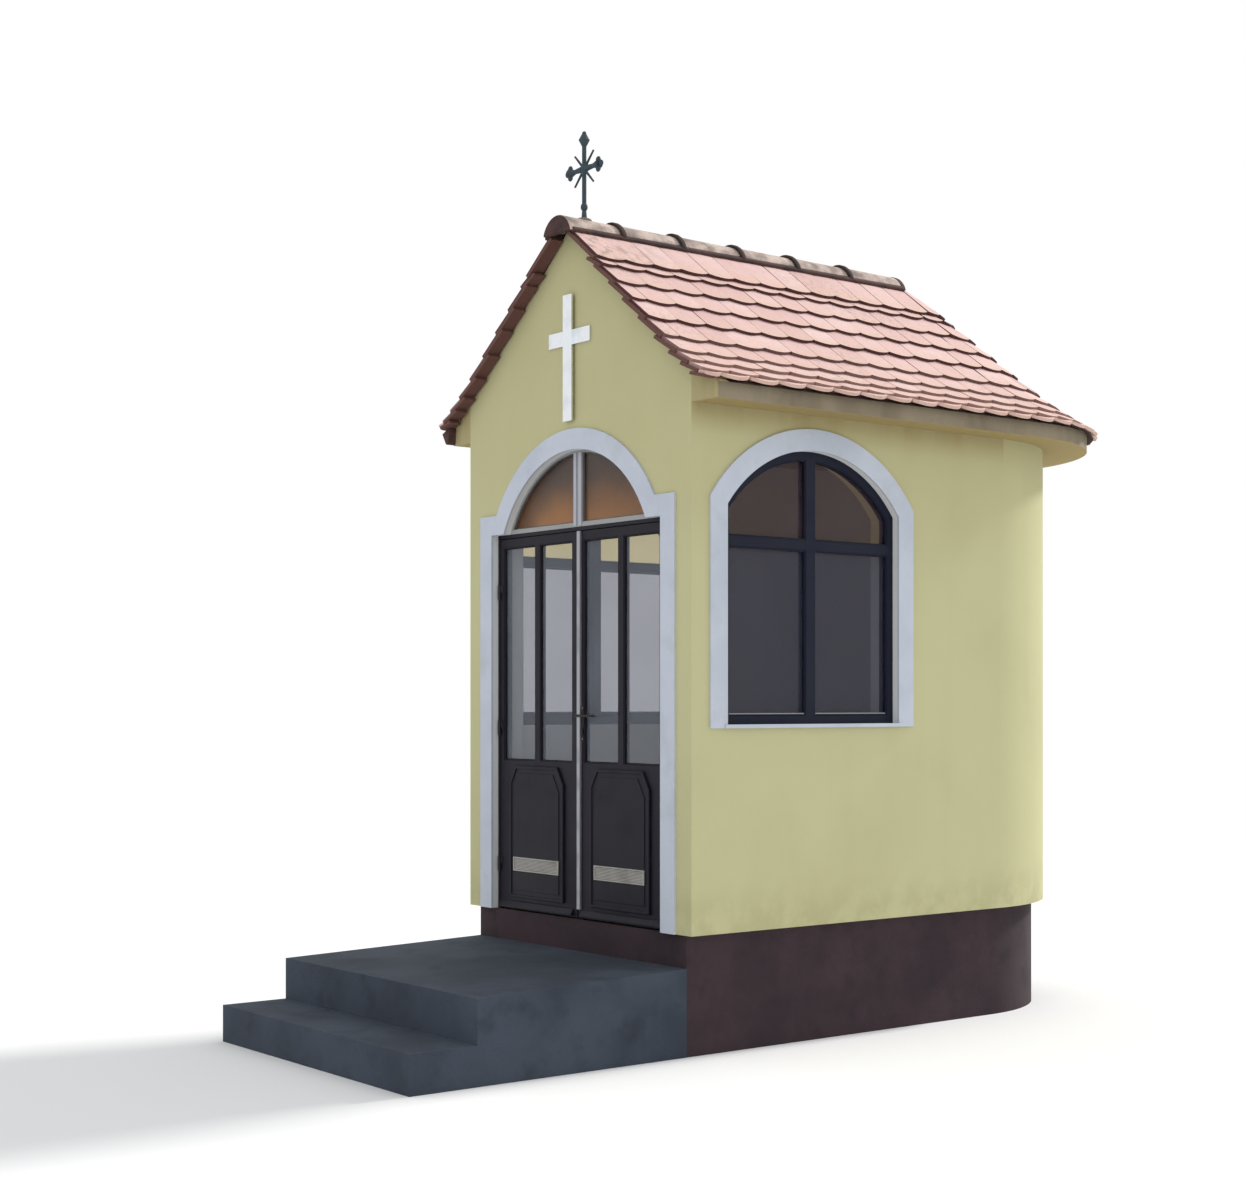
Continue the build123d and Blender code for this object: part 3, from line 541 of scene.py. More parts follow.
@dataclass(frozen=True)
class PatternGlass(Finish):
    """Rolled patterned glass, which blurs what stands behind it, with a painted glow that makes it paler at
    its foot.
    """

    name: str
    foot: Colour
    head: Colour
    glow_foot_z: float
    rise: float
    rough: float
    ripple: float = 0.0015

    def paint(self, graph: Graph) -> None:
        """An amber tint under a painted glow, bright at the foot and fading upwards in clouds, and a fine
        hammered pattern.

        Args:
            graph: The material's node tree.
        """
        z = graph.axes()[2]
        cloud = graph.noise(6.0, 3.0) - 0.5
        # painted light: the glow at the foot fades out upwards
        up = ((z - self.glow_foot_z) / self.rise + cloud * 0.5).ramp(0.05, 0.75)
        normal = graph.bump(graph.noise(70.0, 1.5, rough=0.4), self.ripple, 0.8)
        graph.end(graph.principled(graph.mix(self.foot, self.head, up), self.rough, normal,
                                   Transmission_Weight=0.92, IOR=1.45, Specular_IOR_Level=0.3))


@dataclass(frozen=True)
class Linen(Finish):
    """White woven linen."""

    name: str = "white_linen"
    colour: Colour = rgb(226, 224, 218)
    shade: Colour = rgb(204, 202, 198)
    threads: float = 300.0

    def paint(self, graph: Graph) -> None:
        """A plain weave in the bump, over cloudy whites.

        Args:
            graph: The material's node tree.
        """
        weave = graph.noise(self.threads, 1.0, stretch=(1.0, 1.0, 0.2))
        weft = graph.noise(self.threads, 1.0, stretch=(0.2, 0.2, 1.0), shift=1.0)
        colour = graph.mix(self.colour, self.shade, graph.noise(4.0, 4.0).ramp(0.4, 0.7) * 0.6)
        graph.end(graph.principled(colour, 0.9, graph.bump(weave + weft, 0.0006, 0.5), Sheen_Weight=0.3))


RENDER = WallRender()
GABLE_RENDER = WallRender(name="gable_render", has_inside=False)
BAND = Masonry("pale_band", rgb(190, 196, 207), rgb(180, 187, 199), rgb(166, 170, 174), 2.0, 0.3, 160.0,
               0.0012)
EAVES = SlabRender("eaves_render", rgb(146, 134, 112), rgb(128, 116, 96), rgb(100, 88, 72), 2.2, 0.35, 120.0,
                   streaks=(1.0, 1.0, 0.45))
STEPS = Masonry("steps_concrete", rgb(64, 72, 84), rgb(50, 57, 68), rgb(40, 45, 54), 1.6, 0.5, 90.0, 0.003)
PLINTH = Masonry("plinth_paint", rgb(60, 46, 51), rgb(48, 37, 43), rgb(38, 31, 36), 2.4, 0.5, 110.0)
FLOORING = Masonry("floor_screed", rgb(150, 146, 140), rgb(128, 124, 118), rgb(104, 100, 96), 2.0, 0.4)
MORTAR = Masonry("dark_red_mortar", rgb(80, 56, 52), rgb(58, 43, 41), rgb(44, 36, 36), 9.0, 0.6, 120.0, 0.003)
LAP_MORTAR = Masonry("lap_mortar", rgb(62, 46, 42), rgb(44, 36, 34), rgb(34, 30, 30), 12.0, 0.5, 120.0, 0.003)
GREY_MORTAR = Masonry("grey_mortar", rgb(142, 136, 126), rgb(104, 98, 90), rgb(70, 64, 58), 9.0, 0.6, 120.0,
                      0.003)
UNDERLAY = Masonry("roof_underlay", rgb(70, 46, 40), rgb(48, 34, 30), rgb(36, 28, 26), 6.0, 0.5, 60.0)
RIDGE_CLAY = Masonry("ridge_clay", rgb(196, 178, 168), rgb(134, 122, 114), rgb(166, 128, 114), 9.0, 0.5, 70.0,
                     0.006)
TILES = Clay()
# a darker copy of the roof's clay: painted shade on the verge tiles along the gable
SHADED_VERGE_CLAY = Clay("shaded_verge_clay", rgb(100, 64, 57), rgb(120, 80, 71), rgb(144, 100, 89), rgb(96, 64, 58),
                  rgb(110, 80, 70))
JOINERY = Paint("dark_joinery", rgb(20, 19, 30), rgb(44, 38, 46), 0.5, wear=0.4)
WINDOW_PAINT = Paint("dark_window", rgb(14, 19, 38), rgb(32, 35, 50), 0.5)
PALE_JOINERY = Paint("pale_joinery", rgb(150, 150, 150), rgb(128, 126, 124), 0.45)
LIGHT_BEAD = Paint("light_bead", rgb(168, 171, 180), rgb(140, 142, 150), 0.4)
FAN_BEAD = Paint("fanlight_bead", rgb(96, 94, 96), rgb(72, 70, 72), 0.5)
GASKET = Paint("black_gasket", rgb(24, 24, 27), rgb(44, 44, 46), 0.6)
BLACK_METAL = Paint("black_metal", rgb(26, 25, 27), rgb(60, 58, 58), 0.35, (4.0, 4.0, 4.0), 0.3)
HINGE_METAL = Paint("hinge_metal", rgb(40, 38, 42), rgb(70, 66, 66), 0.4, (4.0, 4.0, 4.0), 0.4)
IRON = Paint("weathered_iron", rgb(54, 68, 76), rgb(84, 92, 92), 0.62, (30.0, 30.0, 30.0), 0.5)
ALUMINIUM = Metal("bare_aluminium", rgb(156, 158, 164), rgb(132, 134, 142), 0.42, 0.4, metallic=0.6)
VENT_METAL = Metal("vent_metal", rgb(158, 156, 150), rgb(128, 126, 120), 0.45, 0.5, (300.0, 8.0, 8.0), 0.4)
POLISHED = Metal("polished_steel", rgb(226, 230, 234), rgb(196, 202, 210), 0.16, 0.4, (4.0, 4.0, 90.0))
# The panes' opaque colours are painted reflection of the sky.
CLEAR = Pane("clear_glass", (0.95, 0.955, 0.96), rgb(172, 178, 192), 0.12)
WINDOW_GLASS = Pane("window_glass", (0.70, 0.695, 0.715), rgb(104, 104, 124), 0.16, 0.12)
AMBER = Pane("amber_glass", (0.85, 0.785, 0.56), rgb(106, 92, 116), 0.15, 0.2, 0.0012)
# the foot colour is a painted glow of light from behind the fanlight; the head colour is the amber
FAN_GLASS = PatternGlass("fanlight_glass", (0.58, 0.27, 0.09), (0.20, 0.115, 0.08), SITE.fan_z, 0.45, 0.32)
LINEN = Linen()
ALTAR_WOOD = Paint("altar_wood", rgb(122, 86, 58), rgb(96, 66, 46), 0.5, (40.0, 40.0, 3.0), 0.4)


class Shape:
    """A mesh under construction, made with bmesh operators."""

    def __init__(self) -> None:
        """Starts empty."""
        self.bm = bmesh.new()

    def _soften(self, verts: Iterable[bmesh.types.BMVert], width: float, segments: int = 2) -> None:
        """Bevels the sharp edges between some vertices.

        Args:
            verts: The vertices.
            width: The bevel's width; 0 leaves the edges sharp.
            segments: The bevel's steps.
        """
        if width <= 0:
            return
        inside = set(verts)
        edges = [e for e in self.bm.edges
                 if inside.issuperset(e.verts) and len(e.link_faces) == 2 and e.calc_face_angle(0.0) > 0.35]
        bmesh.ops.bevel(self.bm, geom=edges, offset=width, offset_type="OFFSET", segments=segments,
                        profile=0.5, affect="EDGES", material=-1, clamp_overlap=True)

    def block(self, low: Sequence[float], high: Sequence[float], soften: float = 0.0,
              turn: Matrix | None = None) -> "Shape":
        """Adds a block.

        Args:
            low, high: Its lowest and highest corner.
            soften: Width of the bevel on its edges.
            turn: A transform that is applied last.

        Returns:
            The shape itself.
        """
        low, high = Vector(low), Vector(high)
        matrix = Matrix.Translation((low + high) / 2) @ Matrix.Diagonal((*(high - low), 1.0))
        verts = bmesh.ops.create_cube(self.bm, size=1.0, matrix=(turn @ matrix) if turn else matrix)["verts"]
        self._soften(verts, soften)
        return self

    def _face(self, outline: Sequence[Vector]) -> bmesh.types.BMFace:
        """A flat face with these corners."""
        return self.bm.faces.new([self.bm.verts.new(point) for point in outline])

    def _sweep(self, faces: list[bmesh.types.BMFace], sweep: Vector, soften: float) -> "Shape":
        """Extrudes flat faces into a closed solid and bevels it.

        Args:
            faces: The faces.
            sweep: The way and distance.
            soften: Width of the bevel on its edges.

        Returns:
            The shape itself.
        """
        start = [v for f in faces for v in f.verts]
        made = bmesh.ops.extrude_face_region(self.bm, geom=faces)["geom"]
        moved = [v for v in made if isinstance(v, bmesh.types.BMVert)]
        bmesh.ops.translate(self.bm, vec=sweep, verts=moved)
        self._soften([*start, *moved], soften)
        return self

    def slab(self, outline: Sequence[Vector], sweep: Vector, soften: float = 0.0) -> "Shape":
        """Adds a plate: a flat outline swept along a vector, with softened edges."""
        return self._sweep([self._face(outline)], sweep, soften)

    def ring(self, outline: Sequence[Vector], width: float, sweep: Vector, soften: float = 0.0) -> "Shape":
        """Adds a frame of even width along the inside of a flat outline.

        Args:
            outline: The outer corners, in order.
            width: Width of the frame.
            sweep: The way and distance that the frame is thick.
            soften: Width of the bevel on its edges.

        Returns:
            The shape itself.
        """
        face = self._face(outline)
        self.bm.normal_update()
        rim = bmesh.ops.inset_region(self.bm, faces=[face], thickness=width, use_even_offset=True,
                                     use_boundary=True)["faces"]
        bmesh.ops.delete(self.bm, geom=[face], context="FACES")
        return self._sweep(rim, sweep, soften)

    def rod(self, start: Sequence[float], end: Sequence[float], radius: float,
            end_radius: float | None = None, segments: int = 14, soften: float = 0.0) -> "Shape":
        """Adds a round bar, which may taper.

        Args:
            start, end: Its ends.
            radius: Radius at the first end.
            end_radius: Radius at the other end, where it differs.
            segments: Sides of the bar.
            soften: Width of the bevel on its ends.

        Returns:
            The shape itself.
        """
        start, end = Vector(start), Vector(end)
        way = end - start
        turn = way.to_track_quat("Z", "Y").to_matrix().to_4x4()
        verts = bmesh.ops.create_cone(self.bm, cap_ends=True, segments=segments, radius1=radius,
                                      radius2=radius if end_radius is None else end_radius, depth=way.length,
                                      matrix=Matrix.Translation((start + end) / 2) @ turn)["verts"]
        self._soften(verts, soften, 1)
        return self

    def ball(self, centre: Sequence[float], radii: Sequence[float], steps: int = 12) -> "Shape":
        """Adds a ball or an egg shape.

        Args:
            centre: Its middle.
            radii: Its half sizes along the three axes.
            steps: Steps from pole to pole.

        Returns:
            The shape itself.
        """
        matrix = Matrix.Translation(Vector(centre)) @ Matrix.Diagonal((*radii, 1.0))
        bmesh.ops.create_uvsphere(self.bm, u_segments=steps + 4, v_segments=steps, radius=1.0,
                                  matrix=matrix)
        return self

    def mesh(self, name: str) -> bpy.types.Mesh:
        """Turns the shape into a mesh, which ends it.

        Args:
            name: The mesh's name.

        Returns:
            The mesh.
        """
        mesh = bpy.data.meshes.new(name)
        self.bm.to_mesh(mesh)
        self.bm.free()
        return mesh

    def take(self, other: "Shape") -> None:
        """Adds everything of another shape, which ends with it.

        Args:
            other: The other shape.
        """
        mesh = other.mesh("taken")
        self.bm.from_mesh(mesh)
        bpy.data.meshes.remove(mesh)

    def mirrored(self) -> "Shape":
        """Adds the same again on the other side of the middle plane."""
        bmesh.ops.mirror(self.bm, geom=self.bm.verts[:] + self.bm.edges[:] + self.bm.faces[:], axis="X")
        return self

    def turned(self, matrix: Matrix) -> "Shape":
        """Moves or turns everything made so far."""
        bmesh.ops.transform(self.bm, matrix=matrix, verts=self.bm.verts[:])
        return self

    def piece(self, name: str, finish: Finish, slot: str, replaces: Sequence[str] = (), smooth: float = 0.0,
              body: str = "building") -> bpy.types.Object:
        """Turns the shape into a piece of the chapel.

        Args:
            name: The piece's name.
            finish: Its finish.
            slot: The record's material slot; not used.
            replaces: Nodes of the part that it stands for.
            smooth: Angle in degrees under which edges are shaded smooth; 0 keeps them flat.
            body: The body that it rides on.

        Returns:
            The new object.
        """
        bmesh.ops.recalc_face_normals(self.bm, faces=self.bm.faces[:])
        mesh = self.mesh(name)
        made = bpy.data.objects.new(name, mesh)
        bpy.context.scene.collection.objects.link(made)
        mesh.materials.append(finish.material())
        if smooth:
            mesh.shade_smooth()
            mesh.set_sharp_from_angle(angle=math.radians(smooth))
        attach(made, body)
        if replaces:
            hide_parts(*replaces)
        LOG.info("%s: %d faces on %s", name, len(mesh.polygons), body)
        return made


class Side(Enum):
    """A side of the chapel, seen from the door."""

    RIGHT = 1
    LEFT = -1

    @property
    def word(self) -> str:
        """The side's name."""
        return self.name.lower()

    @property
    def out(self) -> Vector:
        """The way from the middle to the side."""
        return Vector((float(self.value), 0.0, 0.0))

    @property
    def flip(self) -> Matrix:
        """What mirrors the right side's shapes to this side."""
        return Matrix.Diagonal((float(self.value), 1.0, 1.0, 1.0))


def bell_arc(start: Vector, end: Vector, pitch: float) -> Callable[[float], Vector]:
    """The arc that leaves a straight slope smoothly and ends at a point.

    Args:
        start: Where the slope ends, as (out, up).
        end: The arc's other end, as (out, up).
        pitch: The slope's rise over run.

    Returns:
        A function from the share of the arc, 0 to 1, to its point.
    """
    normal = Vector((pitch, 1.0)).normalized()
    way = end - start
    radius = way.length_squared / (2 * normal.dot(way))
    centre = start + normal * radius
    first = math.atan2(start.y - centre.y, start.x - centre.x)
    last = math.atan2(end.y - centre.y, end.x - centre.x)

    def point(share: float) -> Vector:
        """The arc's point at a share of its angle."""
        angle = first + (last - first) * share
        return centre + Vector((math.cos(angle), math.sin(angle))) * radius
    return point


@dataclass(frozen=True)
class Arch:
    """A flat round arch that stands on a level line."""

    radius: float
    centre: float

    @classmethod
    def over(cls, half: float, foot: float, top: float) -> "Arch":
        """Finds the arch from half its span and its heights.

        Args:
            half: Half its span at the foot.
            foot: Height of its foot.
            top: Height of its crown.

        Returns:
            The arch.
        """
        rise = top - foot
        radius = (half**2 + rise**2) / (2 * rise)
        return cls(radius, top - radius)

    def points(self, first: float, last: float, steps: int) -> list[tuple[float, float]]:
        """Points on the arch.

        Args:
            first, last: How far out the first and the last point lie.
            steps: Steps between them, even in angle.

        Returns:
            The points, as (out, up).
        """
        first, last = math.asin(first / self.radius), math.asin(last / self.radius)
        angles = [first + (last - first) * i / steps for i in range(steps + 1)]
        return [(self.radius * math.sin(a), self.centre + self.radius * math.cos(a)) for a in angles]


@dataclass(frozen=True)
class Course:
    """One course of tiles: how far down the roof its tails lie and how much of it shows."""

    shifted: bool
    tail: float
    exposure: float
    length: float
    lift: float
    # share of painted shade, with some dirt, on the tile edges
    rim: float
    drop: float


@dataclass
class TiledRoof:
    """Plain tiles with round tails on a bell-cast roof with two slopes and a cone over the round back."""

    pitch: float = 0.875
    ridge_cut: float = 0.040
    bend_x: float = 0.800
    soffit_bend_x: float = 0.751
    soffit_x: float = 1.130
    board: float = 0.070
    tile_width: float = 0.187
    tile_thick: float = 0.017
    joint: float = 0.003
    head_top: float = 0.150
    overlap: float = 0.045
    first_course: float = 0.425
    first_lift: float = 0.003
    exposures: tuple[float, ...] = (0.075, 0.160, 0.162, 0.168, 0.170, 0.140, 0.110, 0.092)
    eave_back: float = 0.034
    tail_drop: float = 0.026
    eave_drop: float = 0.040
    camber: float = 0.002
    deck_drop: float = 0.030
    deck_back: float = 0.045
    crest_depth: float = 0.060
    verge_width: float = 0.078
    verge_proud: float = 0.008
    verge_step: float = 0.010
    least_tiles: int = 8
    # how the painted shade on the tile edges fades down the roof
    full_shade_courses: int = 4
    shade_fade: float = 0.12
    ridge_level: float = 0.012
    foot_front: float = 0.050
    foot_depth: float = 0.070
    foot_proud: float = 0.006
    foot_soften: float = 0.005
    turn_spread: float = 0.006
    tilt_spread: float = 0.004
    slide_spread: float = 0.0008
    slip_spread: float = 0.002
    lift_spread: float = 0.0015
    tone_middle: float = 0.55
    tone_spread: float = 0.11
    verge_spread: float = 0.006
    verge_sink: float = 1.04
    random: Random = field(default_factory=lambda: Random(11))

    def __post_init__(self) -> None:
        """Works out the roof's curve and where the tails of the courses lie on it."""
        self.apex = SITE.bed_z + self.ridge_cut
        self.slope_length = self.bend_x * math.hypot(1.0, self.pitch)
        start = Vector((self.bend_x, self.apex - self.pitch * self.bend_x))
        self.arc = bell_arc(start, Vector((SITE.eave_x, SITE.eave_z)), self.pitch)
        points = [self.arc(i / 12) for i in range(13)]
        self.arc_length = sum((b - a).length for a, b in zip(points, points[1:]))
        self.tails = [self.first_course]
        for exposure in self.exposures:
            self.tails.append(self.tails[-1] + exposure)
        self.tails.append(self.slope_length + self.arc_length - self.eave_back)

    def point(self, along: float) -> Vector:
        """The roof's surface at a distance down from the top.

        Args:
            along: The distance.

        Returns:
            The point, as (out, up).
        """
        if along <= self.slope_length:
            out = along / self.slope_length * self.bend_x
            return Vector((out, self.apex - self.pitch * out))
        return self.arc((along - self.slope_length) / self.arc_length)

    def seat(self, along: float, out: Vector, axis: Vector) -> Matrix:
        """The place of a tile's tail.

        Args:
            along: Distance down the roof.
            out: Level direction in which the roof falls.
            axis: Point of the roof's axis that the tile belongs to.

        Returns:
            The transform from a tile's own axes: X across, Y up the slope, Z outwards.
        """
        here = self.point(along)
        rise = self.point(along - 0.10) - here
        vertical = Vector((0.0, 0.0, 1.0))
        up = (out * rise.x + vertical * rise.y).normalized()
        across = vertical.cross(out)
        matrix = Matrix.Identity(4)
        columns = (across, up, across.cross(up).normalized(), axis + out * here.x + vertical * here.y)
        for column, vector in enumerate(columns):
            matrix.col[column][:3] = vector
        return matrix

    def tile(self, shape: Shape, seat: Matrix, tail: float, head: float, course: Course, lift: float) -> None:
        """Adds one tile to a shape, a little out of line and with its own tone.

        Args:
            shape: The shape that gets it.
            seat: The place of its tail.
            tail: Its width at the tail.
            head: Its width at the top.
            course: The course that it lies in.
            lift: Height over its usual place.
        """
        bm = shape.bm
        grid = bmesh.ops.create_grid(bm, x_segments=6, y_segments=1, size=1.0)["verts"]
        wear_layer = bm.verts.layers.float["wear"]
        for vert in grid:
            u, up = vert.co.x, (vert.co.y + 1) / 2
            vert[wear_layer] = 1 - up
            width = tail + (head - tail) * up - self.joint
            dip = course.drop * (1 - u * u) * (tail / self.tile_width) * (1 - up)
            fall = self.tile_thick * up * course.length / course.exposure
            vert.co = Vector((u * width / 2, up * course.length - dip + course.drop / 2,
                              self.tile_thick / 2 - fall - self.camber * u * u))
        faces = list(dict.fromkeys(f for v in grid for f in v.link_faces))
        made = bmesh.ops.extrude_face_region(bm, geom=faces, use_keep_orig=True)["geom"]
        under = [v for v in made if isinstance(v, bmesh.types.BMVert)]
        bmesh.ops.translate(bm, vec=Vector((0.0, 0.0, -self.tile_thick)), verts=under)
        draw = self.random
        turn = Matrix.Rotation(draw.gauss(0.0, self.turn_spread), 4, "Z")
        turn = turn @ Matrix.Rotation(draw.gauss(0.0, self.tilt_spread), 4, "Y")
        shove = (draw.gauss(0.0, self.slide_spread), draw.gauss(0.0, self.slip_spread),
                 lift + draw.uniform(0.0, self.lift_spread))
        bmesh.ops.transform(bm, matrix=seat @ Matrix.Translation(shove) @ turn, verts=grid + under)
        tone = min(max(draw.gauss(self.tone_middle, self.tone_spread), 0.0), 1.0)
        tone_layer, shaded_rim_layer = bm.faces.layers.float["tone"], bm.faces.layers.float["rim"]
        upper = set(grid)
        for face in {f for v in grid + under for f in v.link_faces}:
            face[tone_layer] = tone
            # the edges and underside get the course's painted shade; the top face none
            face[shaded_rim_layer] = 0.0 if upper.issuperset(face.verts) else course.rim

    def courses(self) -> list[Course]:
        """Lists the courses from the ridge down.

        Returns:
            The courses.
        """
        courses = []
        for k, (head, tail) in enumerate(zip([self.head_top, *self.tails], self.tails)):
            exposure = tail - head
            length = exposure if k == 0 else exposure + min(self.overlap, exposure)
            lift = self.first_lift if k == 0 else 0.0
            lowest = tail == self.tails[-1]
            # painted shade on the tail faces: full on the top courses, fading lower down where the tails
            # catch more light, none on the lowest course
            rim = 0.0 if lowest else min(1.0, 1.0 - self.shade_fade * (k - self.full_shade_courses))
            drop = self.eave_drop if lowest else self.tail_drop
            courses.append(Course(k % 2 == 1, tail, exposure, length, lift, rim, drop))
        return courses

    def tile_shape(self) -> Shape:
        """Starts a shape with the marks that the clay reads.

        Returns:
            The shape.
        """
        shape = Shape()
        shape.bm.faces.layers.float.new("tone")
        shape.bm.faces.layers.float.new("rim")
        shape.bm.verts.layers.float.new("wear")
        return shape

    def build_slope(self, side: Side) -> None:
        """Lays the tiles of one straight slope, joints staggered.

        Args:
            side: The slope's side.
        """
        shape = self.tile_shape()
        run = SITE.roof_y - SITE.verge_y
        count = round(run / self.tile_width)
        width = run / count
        for course in self.courses():
            first = SITE.verge_y + (width if course.shifted else width / 2)
            tiles = [(first + j * width, width) for j in range(count - course.shifted)]
            if course.shifted:
                tiles.append((SITE.verge_y + width / 4, width / 2))
            for place, wide in tiles:
                seat = self.seat(course.tail, side.out, deep(place))
                self.tile(shape, seat, wide, wide, course, course.lift)
        shape.piece(f"roof_tiles_{side.word}", TILES, "roof_tile", (f"roof_{side.word}",))

    def build_cone(self) -> None:
        """Lays the tapered tiles of the cone."""
        shape = self.tile_shape()
        for course in self.courses():
            radius, head = self.point(course.tail).x, self.point(course.tail - course.length).x
            count = max(self.least_tiles, round(math.pi * radius / self.tile_width))
            span = 2 * math.tan(math.pi / count / 2)
            start = 0.0 if course.shifted else 0.5
            for j in range(count + course.shifted):
                angle = math.pi * (j + start) / count
                out = Vector((math.cos(angle), math.sin(angle), 0.0))
                seat = self.seat(course.tail, out, deep(SITE.roof_y))
                self.tile(shape, seat, radius * span, head * span, course, course.lift)
        shape.piece("roof_tiles_cone", TILES, "roof_tile", ("roof_apse_right", "roof_apse_left"))

    def _deck_outline(self) -> list[Vector]:
        """The section of the boards under the tiles.

        Returns:
            Its points on one side, as (out, up).
        """
        end = self.slope_length + self.arc_length - self.deck_back
        level = SITE.bed_z - self.ridge_level
        start = (self.apex - self.deck_drop - level) / self.pitch * math.hypot(1.0, self.pitch)
        bends = [self.slope_length + (end - self.slope_length) * i / 5 for i in range(6)]
        top = [self.point(along) - Vector((0.0, self.deck_drop))
               for along in (start, self.slope_length * 0.5, *bends)]
        low_bend = Vector((self.soffit_bend_x, self.apex - self.board - self.pitch * self.soffit_bend_x))
        soffit = bell_arc(low_bend, Vector((self.soffit_x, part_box("eaves_slab")[1].z)), self.pitch)
        low = [soffit(i / 5) for i in range(5, -1, -1)]
        return [Vector((0.0, level)), *top, *low, Vector((0.0, self.apex - self.board))]

    def build_deck(self) -> None:
        """Makes the closed underlay of slopes and cone, and the render that closes it above the gable."""
        half = self._deck_outline()
        whole = half + [Vector((-p.x, p.y)) for p in half[-2:0:-1]]
        start = SITE.front + self.crest_depth
        crest, shape = Shape(), Shape()
        crest.slab([Vector((p.x, SITE.front, p.y)) for p in whole], deep(self.crest_depth))
        crest.piece("gable_crest", GABLE_RENDER, "render")
        shape.slab([Vector((p.x, start, p.y)) for p in whole], deep(SITE.roof_y - start))
        bm = shape.bm
        verts = [bm.verts.new((p.x, SITE.roof_y, p.y)) for p in half]
        section = bm.faces.new(verts)
        bmesh.ops.spin(bm, geom=[section, *section.edges, *verts], cent=deep(SITE.roof_y),
                       axis=(0.0, 0.0, 1.0), angle=math.pi, steps=32)
        inner = [f for f in bm.faces if all(abs(v.co.y - SITE.roof_y) < WELD for v in f.verts)]
        bmesh.ops.delete(bm, geom=inner, context="FACES_ONLY")
        bmesh.ops.remove_doubles(bm, verts=bm.verts[:], dist=WELD)
        bmesh.ops.delete(bm, geom=[e for e in bm.edges if not e.link_faces], context="EDGES")
        shape.piece("roof_underlay", UNDERLAY, "roof_tile")

    def build_verges(self) -> None:
        """Lays the tile edges that overhang the gable, stepped like the courses."""
        shape = self.tile_shape()
        middle = deep(SITE.verge_y - self.verge_proud + self.verge_width / 2)
        depth = -self.tile_thick * self.verge_sink
        for side in Side:
            for course in self.courses():
                slip = self.random.uniform(-self.verge_spread, self.verge_spread) + self.verge_step
                seat = self.seat(course.tail - slip, side.out, middle)
                # the verge tiles get full painted shade on all their edges
                edged = replace(course, rim=1.0, drop=self.tail_drop)
                self.tile(shape, seat, self.verge_width, self.verge_width, edged, course.lift + depth)
        shape.piece("verge_tiles", SHADED_VERGE_CLAY, "roof_tile")

    def build_foot(self) -> None:
        """Fills the corner under the lowest left verge tiles with a dark wedge, down the slab's end."""
        slab_low, slab_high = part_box("eaves_slab")
        top, foot = SITE.eave_z, slab_low.z + 0.004
        corners = ((slab_high.x - 0.030, top + 0.020), (SITE.eave_x - 0.030, top - 0.012),
                   (slab_high.x + self.foot_proud, foot), (slab_high.x - 0.020, foot))
        outline = [Vector((-x, SITE.front - self.foot_front, z)) for x, z in corners]
        shape = Shape().slab(outline, deep(self.foot_depth), self.foot_soften)
        shape.piece("verge_foot", MORTAR, "roof_tile")

    def build(self) -> None:
        """Builds the whole roof covering."""
        self.build_slope(Side.RIGHT)
        self.build_slope(Side.LEFT)
        self.build_cone()
        self.build_deck()
        self.build_verges()
        self.build_foot()


